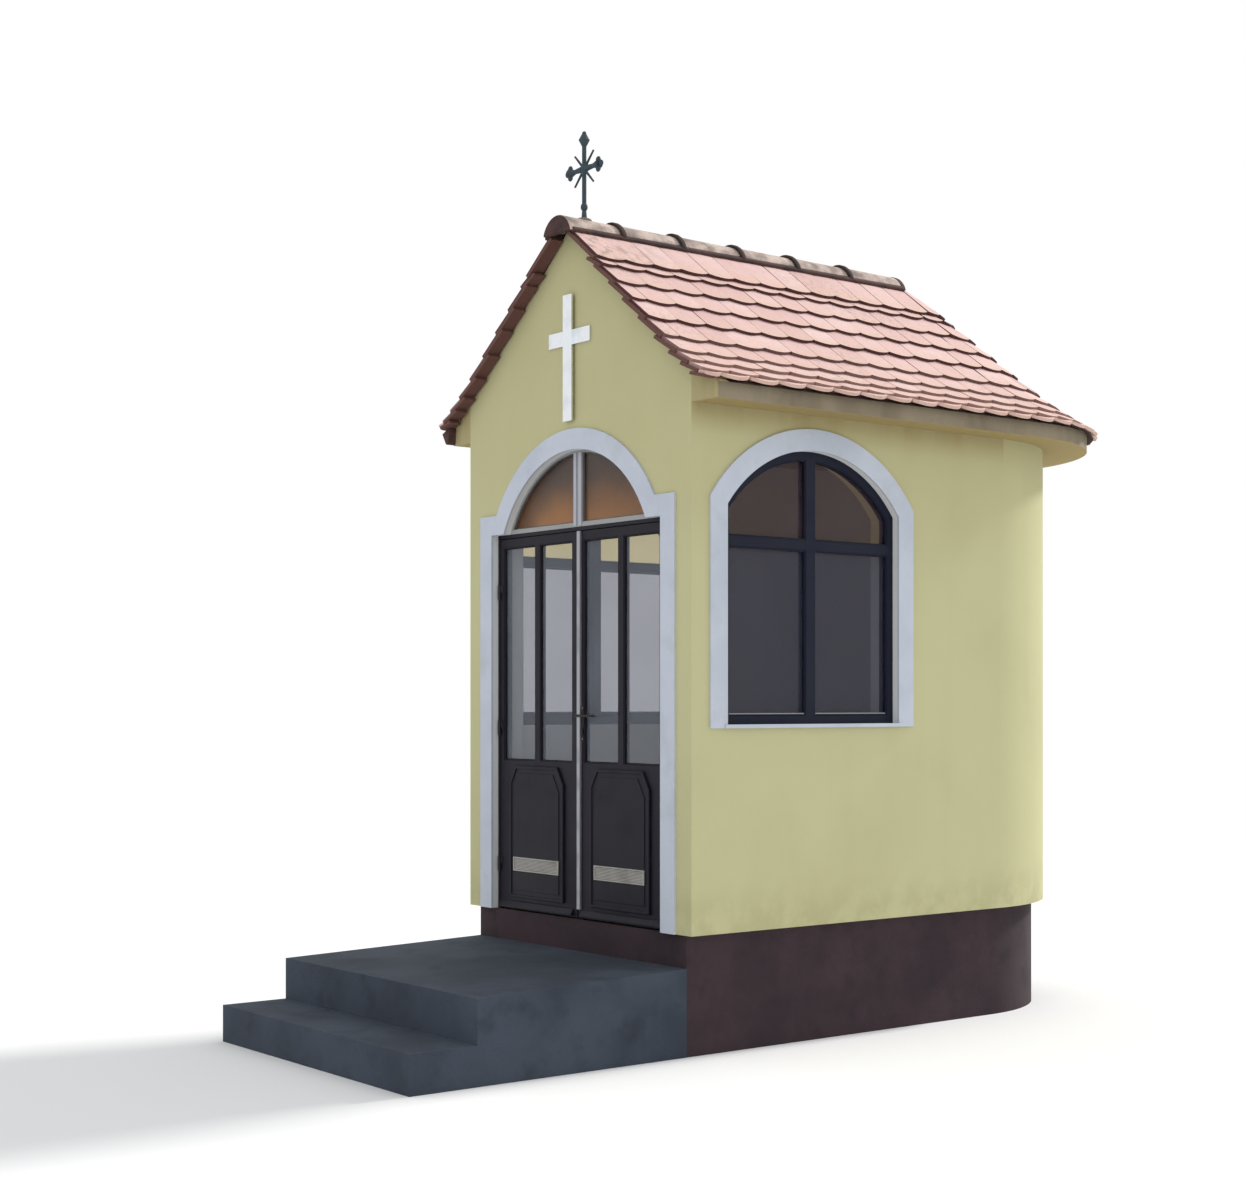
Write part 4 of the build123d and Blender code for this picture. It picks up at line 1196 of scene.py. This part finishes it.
@dataclass
class RidgeTiles:
    """Half-round ridge tiles in a row, bedded in mortar, with a raised dark joint at each lap."""

    joints: tuple[float, ...] = (0.250, 0.658, 1.087, 1.500, 1.917)
    half: float = 0.122
    height: float = 0.098
    thick: float = 0.016
    taper: float = 0.95
    soften: float = 0.004
    collar: float = 0.034
    collar_proud: float = 0.009
    bed_reach: float = 0.006
    bed_thick: float = 0.012
    bed_back: float = 0.020
    cap_depth: float = 0.030
    cap_lead: float = 0.004
    rear_back: float = 0.060
    pinch: float = 1.3
    steps: int = 14

    def __post_init__(self) -> None:
        """Reads the ridge's place from the part."""
        low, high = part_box("ridge_cap")
        self.start, self.end = low.y, high.y - self.rear_back
        self.edge = high.z + 0.002 - self.height

    def arch(self, y: float, grow: float) -> list[Vector]:
        """The section of a ridge tile.

        Args:
            y: Its place along the ridge.
            grow: How much it is larger than usual.

        Returns:
            The outer arch and the inner arch, as one outline.
        """
        points = []
        turns = [math.pi * i / self.steps for i in range(self.steps + 1)]
        for inside, angles in ((0.0, turns), (self.thick, turns[::-1])):
            wide, tall = self.half + grow - inside, self.height + grow - inside
            points += [Vector((wide * math.cos(a), y, self.edge + tall * math.sin(a) ** self.pinch))
                       for a in angles]
        return points

    def build(self) -> None:
        """Builds the tiles, the laps between them, the mortar under them and at the ends."""
        draw = Random(5)
        laps_at = [SITE.front + joint for joint in self.joints]
        ends = [self.start + self.cap_lead, *laps_at, self.end - self.cap_lead]
        tiles, laps, mortar, caps = Shape(), Shape(), Shape(), Shape()
        centre = Matrix.Translation((0.0, 0.0, self.edge))
        shrink = centre @ Matrix.Diagonal((self.taper, 1.0, self.taper, 1.0)) @ centre.inverted()
        for first, last in zip(ends, ends[1:]):
            tile = Shape()
            tile.slab(self.arch(first, -draw.uniform(0.0, 0.004)), deep(last - first), self.soften)
            narrow = [v for v in tile.bm.verts if v.co.y > last - 0.01]
            bmesh.ops.transform(tile.bm, matrix=shrink, verts=narrow)
            tiles.take(tile)
        for place in laps_at:
            laps.slab(self.arch(place - self.collar / 2, self.collar_proud), deep(self.collar), 0.006)
        tiles.piece("ridge_tiles", RIDGE_CLAY, "roof_tile", ("ridge_cap",), 50.0)
        laps.piece("ridge_laps", LAP_MORTAR, "roof_tile", (), 50.0)
        bed = ((-0.040, -0.002), (self.bed_reach, -self.bed_thick), (self.bed_reach + 0.004, 0.0),
               (0.004, self.bed_thick), (-0.030, 0.030))
        for side in Side:
            outline = [Vector((side.value * (self.half + x), self.start + self.bed_back, self.edge + z))
                       for x, z in bed]
            mortar.slab(outline, deep(self.end - self.start - 2 * self.bed_back), self.soften)
        mortar.piece("ridge_bedding", MORTAR, "roof_tile")
        for y in (self.start, self.end - self.cap_depth):
            caps.slab(self.arch(y, -0.005)[:self.steps + 1], deep(self.cap_depth), self.soften)
        caps.piece("ridge_end_caps", MORTAR, "roof_tile")


@dataclass
class Finial:
    """Forged iron cross with trefoil arms, four rays, a spear tip and a knop, set in mortar on the ridge."""

    bar: float = 0.012
    thick_bar: float = 0.017
    arm: float = 0.270
    lobe: float = 0.018
    ray: float = 0.112
    ray_bar: float = 0.0075
    ray_start: float = 0.015
    knop: float = 0.068
    spear: float = 0.085
    flare: float = 0.030
    neck_back: float = 0.085
    leaf_back: float = 0.034
    leaf_root: float = 0.024
    side_lobe: tuple[float, float] = (0.041, 0.023)
    lobe_thick: float = 0.010
    knop_size: tuple[float, float, float] = (0.019, 0.019, 0.024)
    boss: tuple[float, float, float] = (0.032, 0.015, 0.032)
    mortar: tuple[float, float, float] = (0.034, 0.046, 0.014)

    def build(self) -> None:
        """Builds the cross inside the part's flat one."""
        low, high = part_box("finial_cross")
        y = (low.y + high.y) / 2
        foot, tip, half = low.z, high.z, high.x
        level = foot + self.arm
        middle = Vector((0.0, y, level))
        shape = Shape()
        socket = (0, y, foot + self.knop - 0.02)
        shape.rod((0, y, foot - 0.010), socket, self.thick_bar, self.bar, soften=0.002)
        shape.ball((0, y, foot + self.knop), self.knop_size)
        shape.rod((0, y, foot + self.knop), (0, y, tip - self.spear + 0.004), self.bar)
        shape.ball(middle, self.boss)
        leaf = (self.lobe, self.lobe_thick, self.lobe)
        back, apart = self.side_lobe
        for side in (-1, 1):
            neck = (side * (half - self.neck_back), y, level)
            shape.rod((side * self.ray_start, y, level), neck, self.thick_bar, self.bar)
            shape.rod(neck, (side * (half - self.leaf_back), y, level), self.bar, self.leaf_root)
            shape.ball((side * (half - self.lobe), y, level), leaf, 10)
            for way in (-1, 1):
                shape.ball((side * (half - back), y, level + way * apart), leaf, 10)
        for angle in (45, 135, 225, 315):
            way = Vector((math.cos(math.radians(angle)), 0.0, math.sin(math.radians(angle))))
            start, end = middle + way * self.ray_start, middle + way * self.ray
            shape.rod(start, end, self.ray_bar, self.ray_bar * 0.7, 10)
            shape.ball(end, (0.006, 0.006, 0.006), 6)
        belly = (0, y, tip - self.spear * 0.55)
        shape.rod((0, y, tip - self.spear), belly, 0.010, self.flare, 10)
        shape.rod(belly, (0, y, tip - 0.014), self.flare, self.bar, 10)
        shape.ball((0, y, tip - 0.013), (0.013, 0.011, 0.013), 10)
        shape.piece("finial", IRON, "wrought_iron", ("finial_cross",), 35.0)
        blob = Shape().ball((0, y, foot - 0.002), self.mortar, 10)
        blob.piece("finial_mortar", GREY_MORTAR, "roof_tile", (), 60.0)


def rectangle(x0: float, x1: float, z0: float, z1: float, y: float) -> list[Vector]:
    """A rectangle's corners in a plane across the building."""
    return [Vector((x0, y, z0)), Vector((x1, y, z0)), Vector((x1, y, z1)), Vector((x0, y, z1))]


@dataclass
class DoorLeaf:
    """One door leaf's beads, panel mouldings, vent and weather bar, made on the right leaf and mirrored."""

    side: Side
    bead: float = 0.006
    bead_in: float = 0.002
    bead_deep: float = 0.0115
    seal: float = 0.009
    seal_in: float = 0.0133
    seal_deep: float = 0.0018
    muntin: float = 0.044
    moulding: float = 0.016
    field_inset: float = 0.034
    panel_inner: float = 0.120
    panel_outer: float = 0.109
    panel_low: float = 0.070
    panel_drop: float = 0.035
    cut: tuple[float, float] = (0.055, 0.095)
    panel_proud: float = 0.008
    vent_frame: float = 0.008
    vent_proud: float = 0.0085
    slats: int = 8
    slat_tilt: float = -28.0
    slat_half: float = 0.0012
    slat_share: float = 0.42
    slat_deep: float = 0.0045
    soft: float = 0.003
    soft_panel: float = 0.004
    bar_inset: float = 0.034
    bar_section: tuple[tuple[float, float], ...] = (
        (0.0, 0.006), (0.0, 0.046), (0.006, 0.040), (0.020, 0.016), (0.020, 0.006))

    def __post_init__(self) -> None:
        """Reads the right leaf's places."""
        self.glass_low, self.glass_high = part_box("door_glass_right")
        leaf_low, leaf_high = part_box("door_leaf_right")
        self.left, self.right, self.foot = leaf_low.x, leaf_high.x, leaf_low.z

    def _panel(self, inset: float, y: float) -> list[Vector]:
        """The raised panel's outline, drawn in by a distance.

        Args:
            inset: The distance.
            y: The outline's plane.

        Returns:
            Its corners.
        """
        x0, x1 = self.left + self.panel_inner + inset, self.right - self.panel_outer - inset
        z0, z1 = self.foot + self.panel_low + inset, self.glass_low.z - self.panel_drop - inset
        wide, tall = self.cut
        return [Vector(p) for p in ((x0, y, z0), (x1, y, z0), (x1, y, z1 - tall), (x1 - wide, y, z1),
                                    (x0 + wide, y, z1), (x0, y, z1 - tall))]

    def _piece(self, shape: Shape, name: str, finish: Finish = JOINERY, slot: str = "dark_joinery",
               replaces: Sequence[str] = ()) -> None:
        """Turns a shape made on the right leaf into a piece of this leaf.

        Args:
            shape: The shape.
            name: The piece's name without its side.
            finish: Its finish.
            slot: The record's material slot.
            replaces: Nodes of the part that it stands for.
        """
        word = self.side.word
        shape.turned(self.side.flip).piece(f"{name}_{word}", finish, slot, replaces, body=f"{word}_leaf")

    def build(self) -> None:
        """Builds the leaf's details."""
        face = SITE.leaf_face
        beads, seals, panel, bar = Shape(), Shape(), Shape(), Shape()
        width = (self.glass_high.x - self.glass_low.x - self.muntin) / 2
        for x0 in (self.glass_low.x, self.glass_high.x - width):
            light = (x0, x0 + width, self.glass_low.z, self.glass_high.z)
            beads.ring(rectangle(*light, face + self.bead_in), self.bead, deep(self.bead_deep), self.soft)
            seals.ring(rectangle(*light, face + self.seal_in), self.seal, deep(self.seal_deep))
        self._piece(beads, "glazing_beads")
        self._piece(seals, "glazing_seals", GASKET)
        proud = face - self.panel_proud
        panel.ring(self._panel(-0.006, proud + 0.006), self.moulding, deep(-0.012), self.soft_panel)
        panel.slab(self._panel(self.field_inset, proud + 0.001), deep(-0.005), self.soft_panel)
        self._piece(panel, "panel_moulding")
        self._vent()
        start = self.left + self.bar_inset
        outline = [Vector((start, face - out, self.foot + up)) for out, up in self.bar_section]
        bar.slab(outline, Vector((self.right - start - 0.006, 0.0, 0.0)), 0.002)
        self._piece(bar, "weather_bar")

    def _vent(self) -> None:
        """Builds the slotted vent in the raised panel."""
        low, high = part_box("vent_right")
        vent, back = Shape(), high.y
        border = rectangle(low.x, high.x, low.z, high.z, back)
        vent.ring(border, self.vent_frame, deep(-self.vent_proud), 0.0015)
        vent.block((low.x + 0.004, back - 0.001, low.z + 0.004), (high.x - 0.004, back, high.z - 0.004))
        step = (high.z - low.z - 0.018) / self.slats
        tall, edge = step * self.slat_share, self.vent_frame - 0.001
        slat = ((low.x + edge, -self.slat_half, -tall), (high.x - edge, self.slat_half, tall))
        tilt = Matrix.Rotation(math.radians(self.slat_tilt), 4, "X")
        for i in range(self.slats):
            place = Matrix.Translation((0.0, back - self.slat_deep, low.z + 0.009 + step * (i + 0.5)))
            vent.block(*slat, self.slat_half / 2, place @ tilt)
        middle = (low.z + high.z) / 2
        for x in (low.x + 0.010, high.x - 0.010):
            vent.rod((x, back - 0.008, middle), (x, back - 0.0098, middle), 0.0035, 0.0028, 10)
        self._piece(vent, "vent_grille", VENT_METAL, "bare_aluminium", (f"vent_{self.side.word}",))


@dataclass
class Hardware:
    """The lever handle and the lock's screws on the right leaf."""

    neck: float = 0.0068
    rose: tuple[float, float] = (0.0105, 0.0095)
    grip: tuple[float, float] = (0.0078, 0.0062)
    grip_back: float = 0.008
    bend: float = 0.030
    sides: int = 18
    rose_deep: float = 0.006
    end_back: float = 0.008
    elbow: tuple[float, float, float] = (0.0082, 0.0078, 0.0078)
    screw: tuple[float, float] = (0.0042, 0.0032)
    screw_deep: tuple[float, float] = (0.0065, 0.0042)
    screw_in: float = 0.014

    def build(self) -> None:
        """Builds the handle and the screws."""
        low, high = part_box("door_handle")
        plate_low, plate_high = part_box("lock_plate")
        x, z = (plate_low.x + plate_high.x) / 2, (low.z + high.z) / 2
        y_in, y_out = high.y, low.y + self.grip_back
        tip = (high.x - self.end_back, y_out + 0.006, z - 0.001)
        shape = Shape()
        shape.rod((x, y_in, z), (x, y_in - self.rose_deep, z), *self.rose, self.sides, 0.001)
        shape.rod((x, y_in - 0.004, z), (x, y_out, z), self.neck, self.neck, self.sides)
        shape.ball((x, y_out, z), self.elbow, 10)
        shape.rod((x, y_out, z), (high.x - self.bend, y_out + 0.001, z), *self.grip, self.sides)
        shape.rod((high.x - self.bend - 0.001, y_out + 0.001, z), tip, 0.0063, 0.0066, self.sides)
        shape.ball(tip, (self.neck, self.neck, self.neck), 10)
        shape.piece("lever_handle", BLACK_METAL, "black_metal", ("door_handle",), 45.0, "handle")
        screws = Shape()
        for height in (plate_low.z + self.screw_in, plate_high.z - self.screw_in):
            root, head = ((x, plate_low.y + depth, height) for depth in self.screw_deep)
            screws.rod(root, head, *self.screw, 12)
        screws.piece("lock_screws", ALUMINIUM, "bare_aluminium", body="right_leaf")


@dataclass
class Fanlight:
    """Beads and the pale middle strips of the arched light over the door."""

    rim: float = 0.012
    rail: float = 0.024
    mullion: float = 0.072
    bead: float = 0.005
    bead_in: float = 0.004
    bead_deep: float = 0.013
    soft: float = 0.002
    strip: tuple[float, float] = (0.010, 0.034)
    steps: int = 18

    def build(self) -> None:
        """Builds the beads round both lights and the strips on the mullion."""
        low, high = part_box("fanlight_frame")
        frame_arch = Arch.over(high.x, low.z, high.z)
        arch = replace(frame_arch, radius=frame_arch.radius - self.rim)
        bottom, cut, y = low.z + self.rail, self.mullion / 2, low.y + self.bead_in
        reach = math.sqrt(arch.radius**2 - (bottom - arch.centre)**2)
        light = [(cut, bottom), *arch.points(cut, reach, self.steps)[:-1], (reach, bottom)]
        beads, strips = Shape(), Shape()
        beads.ring([Vector((x, y, z)) for x, z in light], self.bead, deep(self.bead_deep), self.soft)
        beads.mirrored().piece("fanlight_beads", FAN_BEAD, "pale_joinery")
        top = arch.centre + arch.radius
        near, far = self.strip
        for x0, x1 in ((near, far), (-far, -near)):
            strips.block((x0, low.y - 0.006, low.z + 0.004), (x1, low.y + 0.001, top), self.soft)
        strips.piece("fanlight_strips", LIGHT_BEAD, "pale_joinery")


@dataclass
class SideWindow:
    """Beads and the pale bottom line of one arched side window."""

    side: Side
    rail: float = 0.060
    frame: float = 0.042
    mullion: float = 0.060
    bead: float = 0.008
    bead_deep: float = 0.014
    line_tall: float = 0.006
    soft: float = 0.003
    steps: int = 16

    def build(self) -> None:
        """Builds the beads round the four lights and the line at their foot."""
        low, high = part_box("window_frames")
        middle, half = (low.y + high.y) / 2, (high.y - low.y) / 2
        arch = Arch.over(half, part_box("right_wall_head")[0].z, high.z)
        arch = replace(arch, radius=arch.radius - self.frame)
        cut, reach = self.mullion / 2, half - self.frame
        foot, face = low.z + self.rail, high.x - 0.002
        transom_low, transom_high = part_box("window_glass_lower")[1].z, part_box("window_glass_upper")[0].z
        beads, line = Shape(), Shape()
        for way in (-1, 1):
            lower = [(cut, foot), (reach, foot), (reach, transom_low), (cut, transom_low)]
            upper = [(cut, transom_high), (reach, transom_high), *arch.points(reach, cut, self.steps)]
            for light in (lower, upper):
                outline = [Vector((face, middle + way * along, up)) for along, up in light]
                beads.ring(outline, self.bead, Vector((-self.bead_deep, 0.0, 0.0)), self.soft)
            ends = sorted((middle + way * (cut + self.bead), middle + way * (reach - self.bead)))
            z = foot + self.bead
            line.block((face - 0.010, ends[0], z), (face - 0.004, ends[1], z + self.line_tall), 0.001)
        word = self.side.word
        beads.turned(self.side.flip).piece(f"window_beads_{word}", WINDOW_PAINT, "dark_joinery")
        line.turned(self.side.flip).piece(f"window_light_line_{word}", PALE_JOINERY, "pale_joinery")


@dataclass
class AltarCloth:
    """White linen over the altar: flat on top, hanging in soft folds in front and at the sides."""

    folds: float = 9.0
    ripples: float = 23.0
    depth: float = 0.022
    fold_share: float = 0.35
    ripple_share: float = 0.15
    flare: float = 1.4
    thick: float = 0.002
    gap: float = 0.001
    rows: int = 14
    columns: int = 120

    def build(self) -> None:
        """Hangs a grid round the altar, closes it over the top and gives it its thickness."""
        low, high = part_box("altar_cloth")
        table_low, table_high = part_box("altar_table")
        base = self.thick + self.gap
        half, front, top = table_high.x + base, table_low.y - base, table_high.z + base
        drop, side = top - low.z, high.y - front
        path = 2 * side + 2 * half
        corners = (side, path - side)
        shape = Shape()
        bm = shape.bm
        bmesh.ops.create_grid(bm, x_segments=self.columns, y_segments=self.rows, size=1.0)
        for vert in bm.verts:
            along, down = (vert.co.x + 1) / 2 * path, (1 - vert.co.y) / 2
            for corner in corners:
                along = corner if abs(along - corner) < path / self.columns / 2 + WELD else along
            fold = self.fold_share * math.sin(along / path * 2 * math.pi * self.folds)
            fold += self.ripple_share * math.sin(along * self.ripples)
            out = self.depth * (0.5 + fold) * down ** self.flare
            x = min(max(along - side, 0.0), 2 * half) - half
            left, right = along <= corners[0], along >= corners[1]
            y = high.y - min(along, path - along) if left or right else front
            ahead = out if corners[0] <= along <= corners[1] else 0.0
            vert.co = Vector((x + out * (right - left), y - ahead, top - down * drop))
        rim = [edge for edge in bm.edges if all(abs(v.co.z - top) < WELD for v in edge.verts)]
        ends = [v for edge in rim for v in edge.verts if abs(v.co.y - high.y) < WELD]
        bmesh.ops.edgeloop_fill(bm, edges=[*rim, bm.edges.new(ends)])
        cloth = shape.piece("altar_linen", LINEN, "linen", ("altar_cloth",), 60.0)
        solid = cloth.modifiers.new("hem", "SOLIDIFY")
        solid.thickness = self.thick
        solid.offset = -1.0


class CadFinishes:
    """Gives every carried-over node of the part its finish."""

    PLAN: tuple[tuple[tuple[str, ...], Finish], ...] = (
        (("front_wall", "right_wall", "left_wall", "apse_wall"), RENDER),
        (("front_gable",), GABLE_RENDER),
        (("door_surround", "window_surrounds"), BAND),
        (("eaves_slab",), EAVES),
        (("entrance_steps",), STEPS),
        (("foundation",), PLINTH),
        (("floor_slab",), FLOORING),
        (("window_frames",), WINDOW_PAINT),
        (("fanlight_frame",), PALE_JOINERY),
        (("door_frame", "door_leaf"), JOINERY),
        (("fanlight_glass",), FAN_GLASS),
        (("window_glass_upper",), AMBER),
        (("window_glass_lower",), WINDOW_GLASS),
        (("door_glass",), CLEAR),
        (("hinge",), HINGE_METAL),
        (("lock_plate", "door_handle"), BLACK_METAL),
        (("astragal", "vent"), ALUMINIUM),
        (("gable_cross",), POLISHED),
        (("finial_cross",), IRON),
        (("roof_", "ridge_cap"), UNDERLAY),
        (("altar_table",), ALTAR_WOOD),
        (("altar_cloth",), LINEN),
    )

    def apply(self) -> None:
        """Assigns the finishes by the start of each node's name."""
        for name, node in frame["nodes"].items():
            finish = next(f for starts, f in self.PLAN if name.startswith(starts))
            node.data.materials.clear()
            node.data.materials.append(finish.material())
            LOG.info("%s: %s", name, finish.name)


@dataclass
class Studio:
    """Pale floor, soft light, and the camera on the road in front of the right corner."""

    eye: tuple[float, float, float] = (8.373, -7.753, 1.735)
    yaw: float = 52.244
    tilt: float = 0.097
    focal: float = 1976.96
    image: tuple[int, int] = (1246, 1185)
    centre_row: float = 700.0
    sensor: float = 36.0
    world_light: float = 0.90
    world_tint: Colour = (0.97, 0.985, 1.0)
    white: Colour = (1.0, 1.0, 1.0)
    floor_tone: Colour = (0.80, 0.80, 0.80)
    floor_radius: float = 40.0
    floor_fade: tuple[float, float] = (6.0, 16.0)
    sun_way: tuple[float, float, float] = (0.02, 0.83, 0.56)
    sun_power: float = 2.9
    sun_angle: float = 7.0
    sun_tint: Colour = (1.0, 0.98, 0.95)
    fill_way: tuple[float, float, float] = (0.55, -0.70, 0.40)
    fill_power: float = 0.2
    fill_angle: float = 60.0

    def _camera(self) -> None:
        """Places the camera."""
        data = bpy.data.cameras.new("camera")
        data.sensor_width = self.sensor
        data.lens = self.focal / self.image[0] * self.sensor
        data.shift_y = (self.centre_row - self.image[1] / 2) / self.image[0]
        data.clip_end = 200.0
        camera = bpy.data.objects.new("camera", data)
        camera.location = self.eye
        camera.rotation_euler = (math.radians(90 + self.tilt), 0.0, math.radians(self.yaw))
        bpy.context.scene.collection.objects.link(camera)
        bpy.context.scene.camera = camera

    def _floor(self) -> None:
        """Lays a wide floor that fades into the backdrop."""
        shape = Shape()
        bmesh.ops.create_circle(shape.bm, cap_ends=True, segments=64, radius=self.floor_radius)
        mesh = shape.mesh("studio_floor")
        floor = bpy.data.objects.new("studio_floor", mesh)
        bpy.context.scene.collection.objects.link(floor)
        material = bpy.data.materials.new("studio_floor")
        material.use_nodes = True
        graph = Graph(material.node_tree)
        x, y, _ = graph.axes()
        away = graph.math("SQRT", x * x + y * y)
        plain = graph.principled(self.floor_tone, 0.9, Specular_IOR_Level=0.0)
        clear = graph.node("ShaderNodeBsdfTransparent")
        fade = away.ramp(*self.floor_fade)
        graph.end(graph.node("ShaderNodeMixShader", inputs={0: fade, 1: plain, 2: clear}))
        mesh.materials.append(material)

    def _lamp(self, name: str, way: Sequence[float], power: float, angle: float, tint: Colour) -> None:
        """Adds a distant lamp.

        Args:
            name: The lamp's name.
            way: Direction from the chapel to the lamp.
            power: Its strength.
            angle: Its apparent size in degrees, which softens the shadow.
            tint: Its colour.
        """
        data = bpy.data.lights.new(name, "SUN")
        data.energy = power
        data.angle = math.radians(angle)
        data.color = tint
        lamp = bpy.data.objects.new(name, data)
        lamp.rotation_euler = Vector(way).to_track_quat("Z", "Y").to_euler()
        bpy.context.scene.collection.objects.link(lamp)

    def _world(self) -> None:
        """Makes a soft pale surround that is plain white to the camera."""
        world = bpy.data.worlds.new("surround")
        world.use_nodes = True
        bpy.context.scene.world = world
        graph = Graph(world.node_tree, "ShaderNodeOutputWorld")
        rays = graph.node("ShaderNodeLightPath").socket.node.outputs
        camera, through, gloss = (Value(graph, rays[f"Is {kind} Ray"])
                                  for kind in ("Camera", "Transmission", "Glossy"))
        light = graph.node("ShaderNodeBackground", inputs={0: self.world_tint, 1: self.world_light})
        backdrop = graph.node("ShaderNodeBackground", inputs={0: self.white, 1: 1.0})
        seen = camera.most(through).most(gloss)
        graph.end(graph.node("ShaderNodeMixShader", inputs={0: seen, 1: light, 2: backdrop}))

    def build(self) -> None:
        """Sets the stage."""
        self._camera()
        self._floor()
        self._world()
        self._lamp("key", self.sun_way, self.sun_power, self.sun_angle, self.sun_tint)
        self._lamp("fill", self.fill_way, self.fill_power, self.fill_angle, self.white)
        bpy.context.scene.view_settings.view_transform = "Standard"


def main() -> None:
    """Builds the pieces in order."""
    logging.basicConfig(level=logging.INFO, format="%(name)s: %(message)s")
    Studio().build()
    CadFinishes().apply()
    TiledRoof().build()
    RidgeTiles().build()
    Finial().build()
    for side in Side:
        DoorLeaf(side).build()
        SideWindow(side).build()
    Fanlight().build()
    Hardware().build()
    AltarCloth().build()


if __name__ == "__main__":
    main()
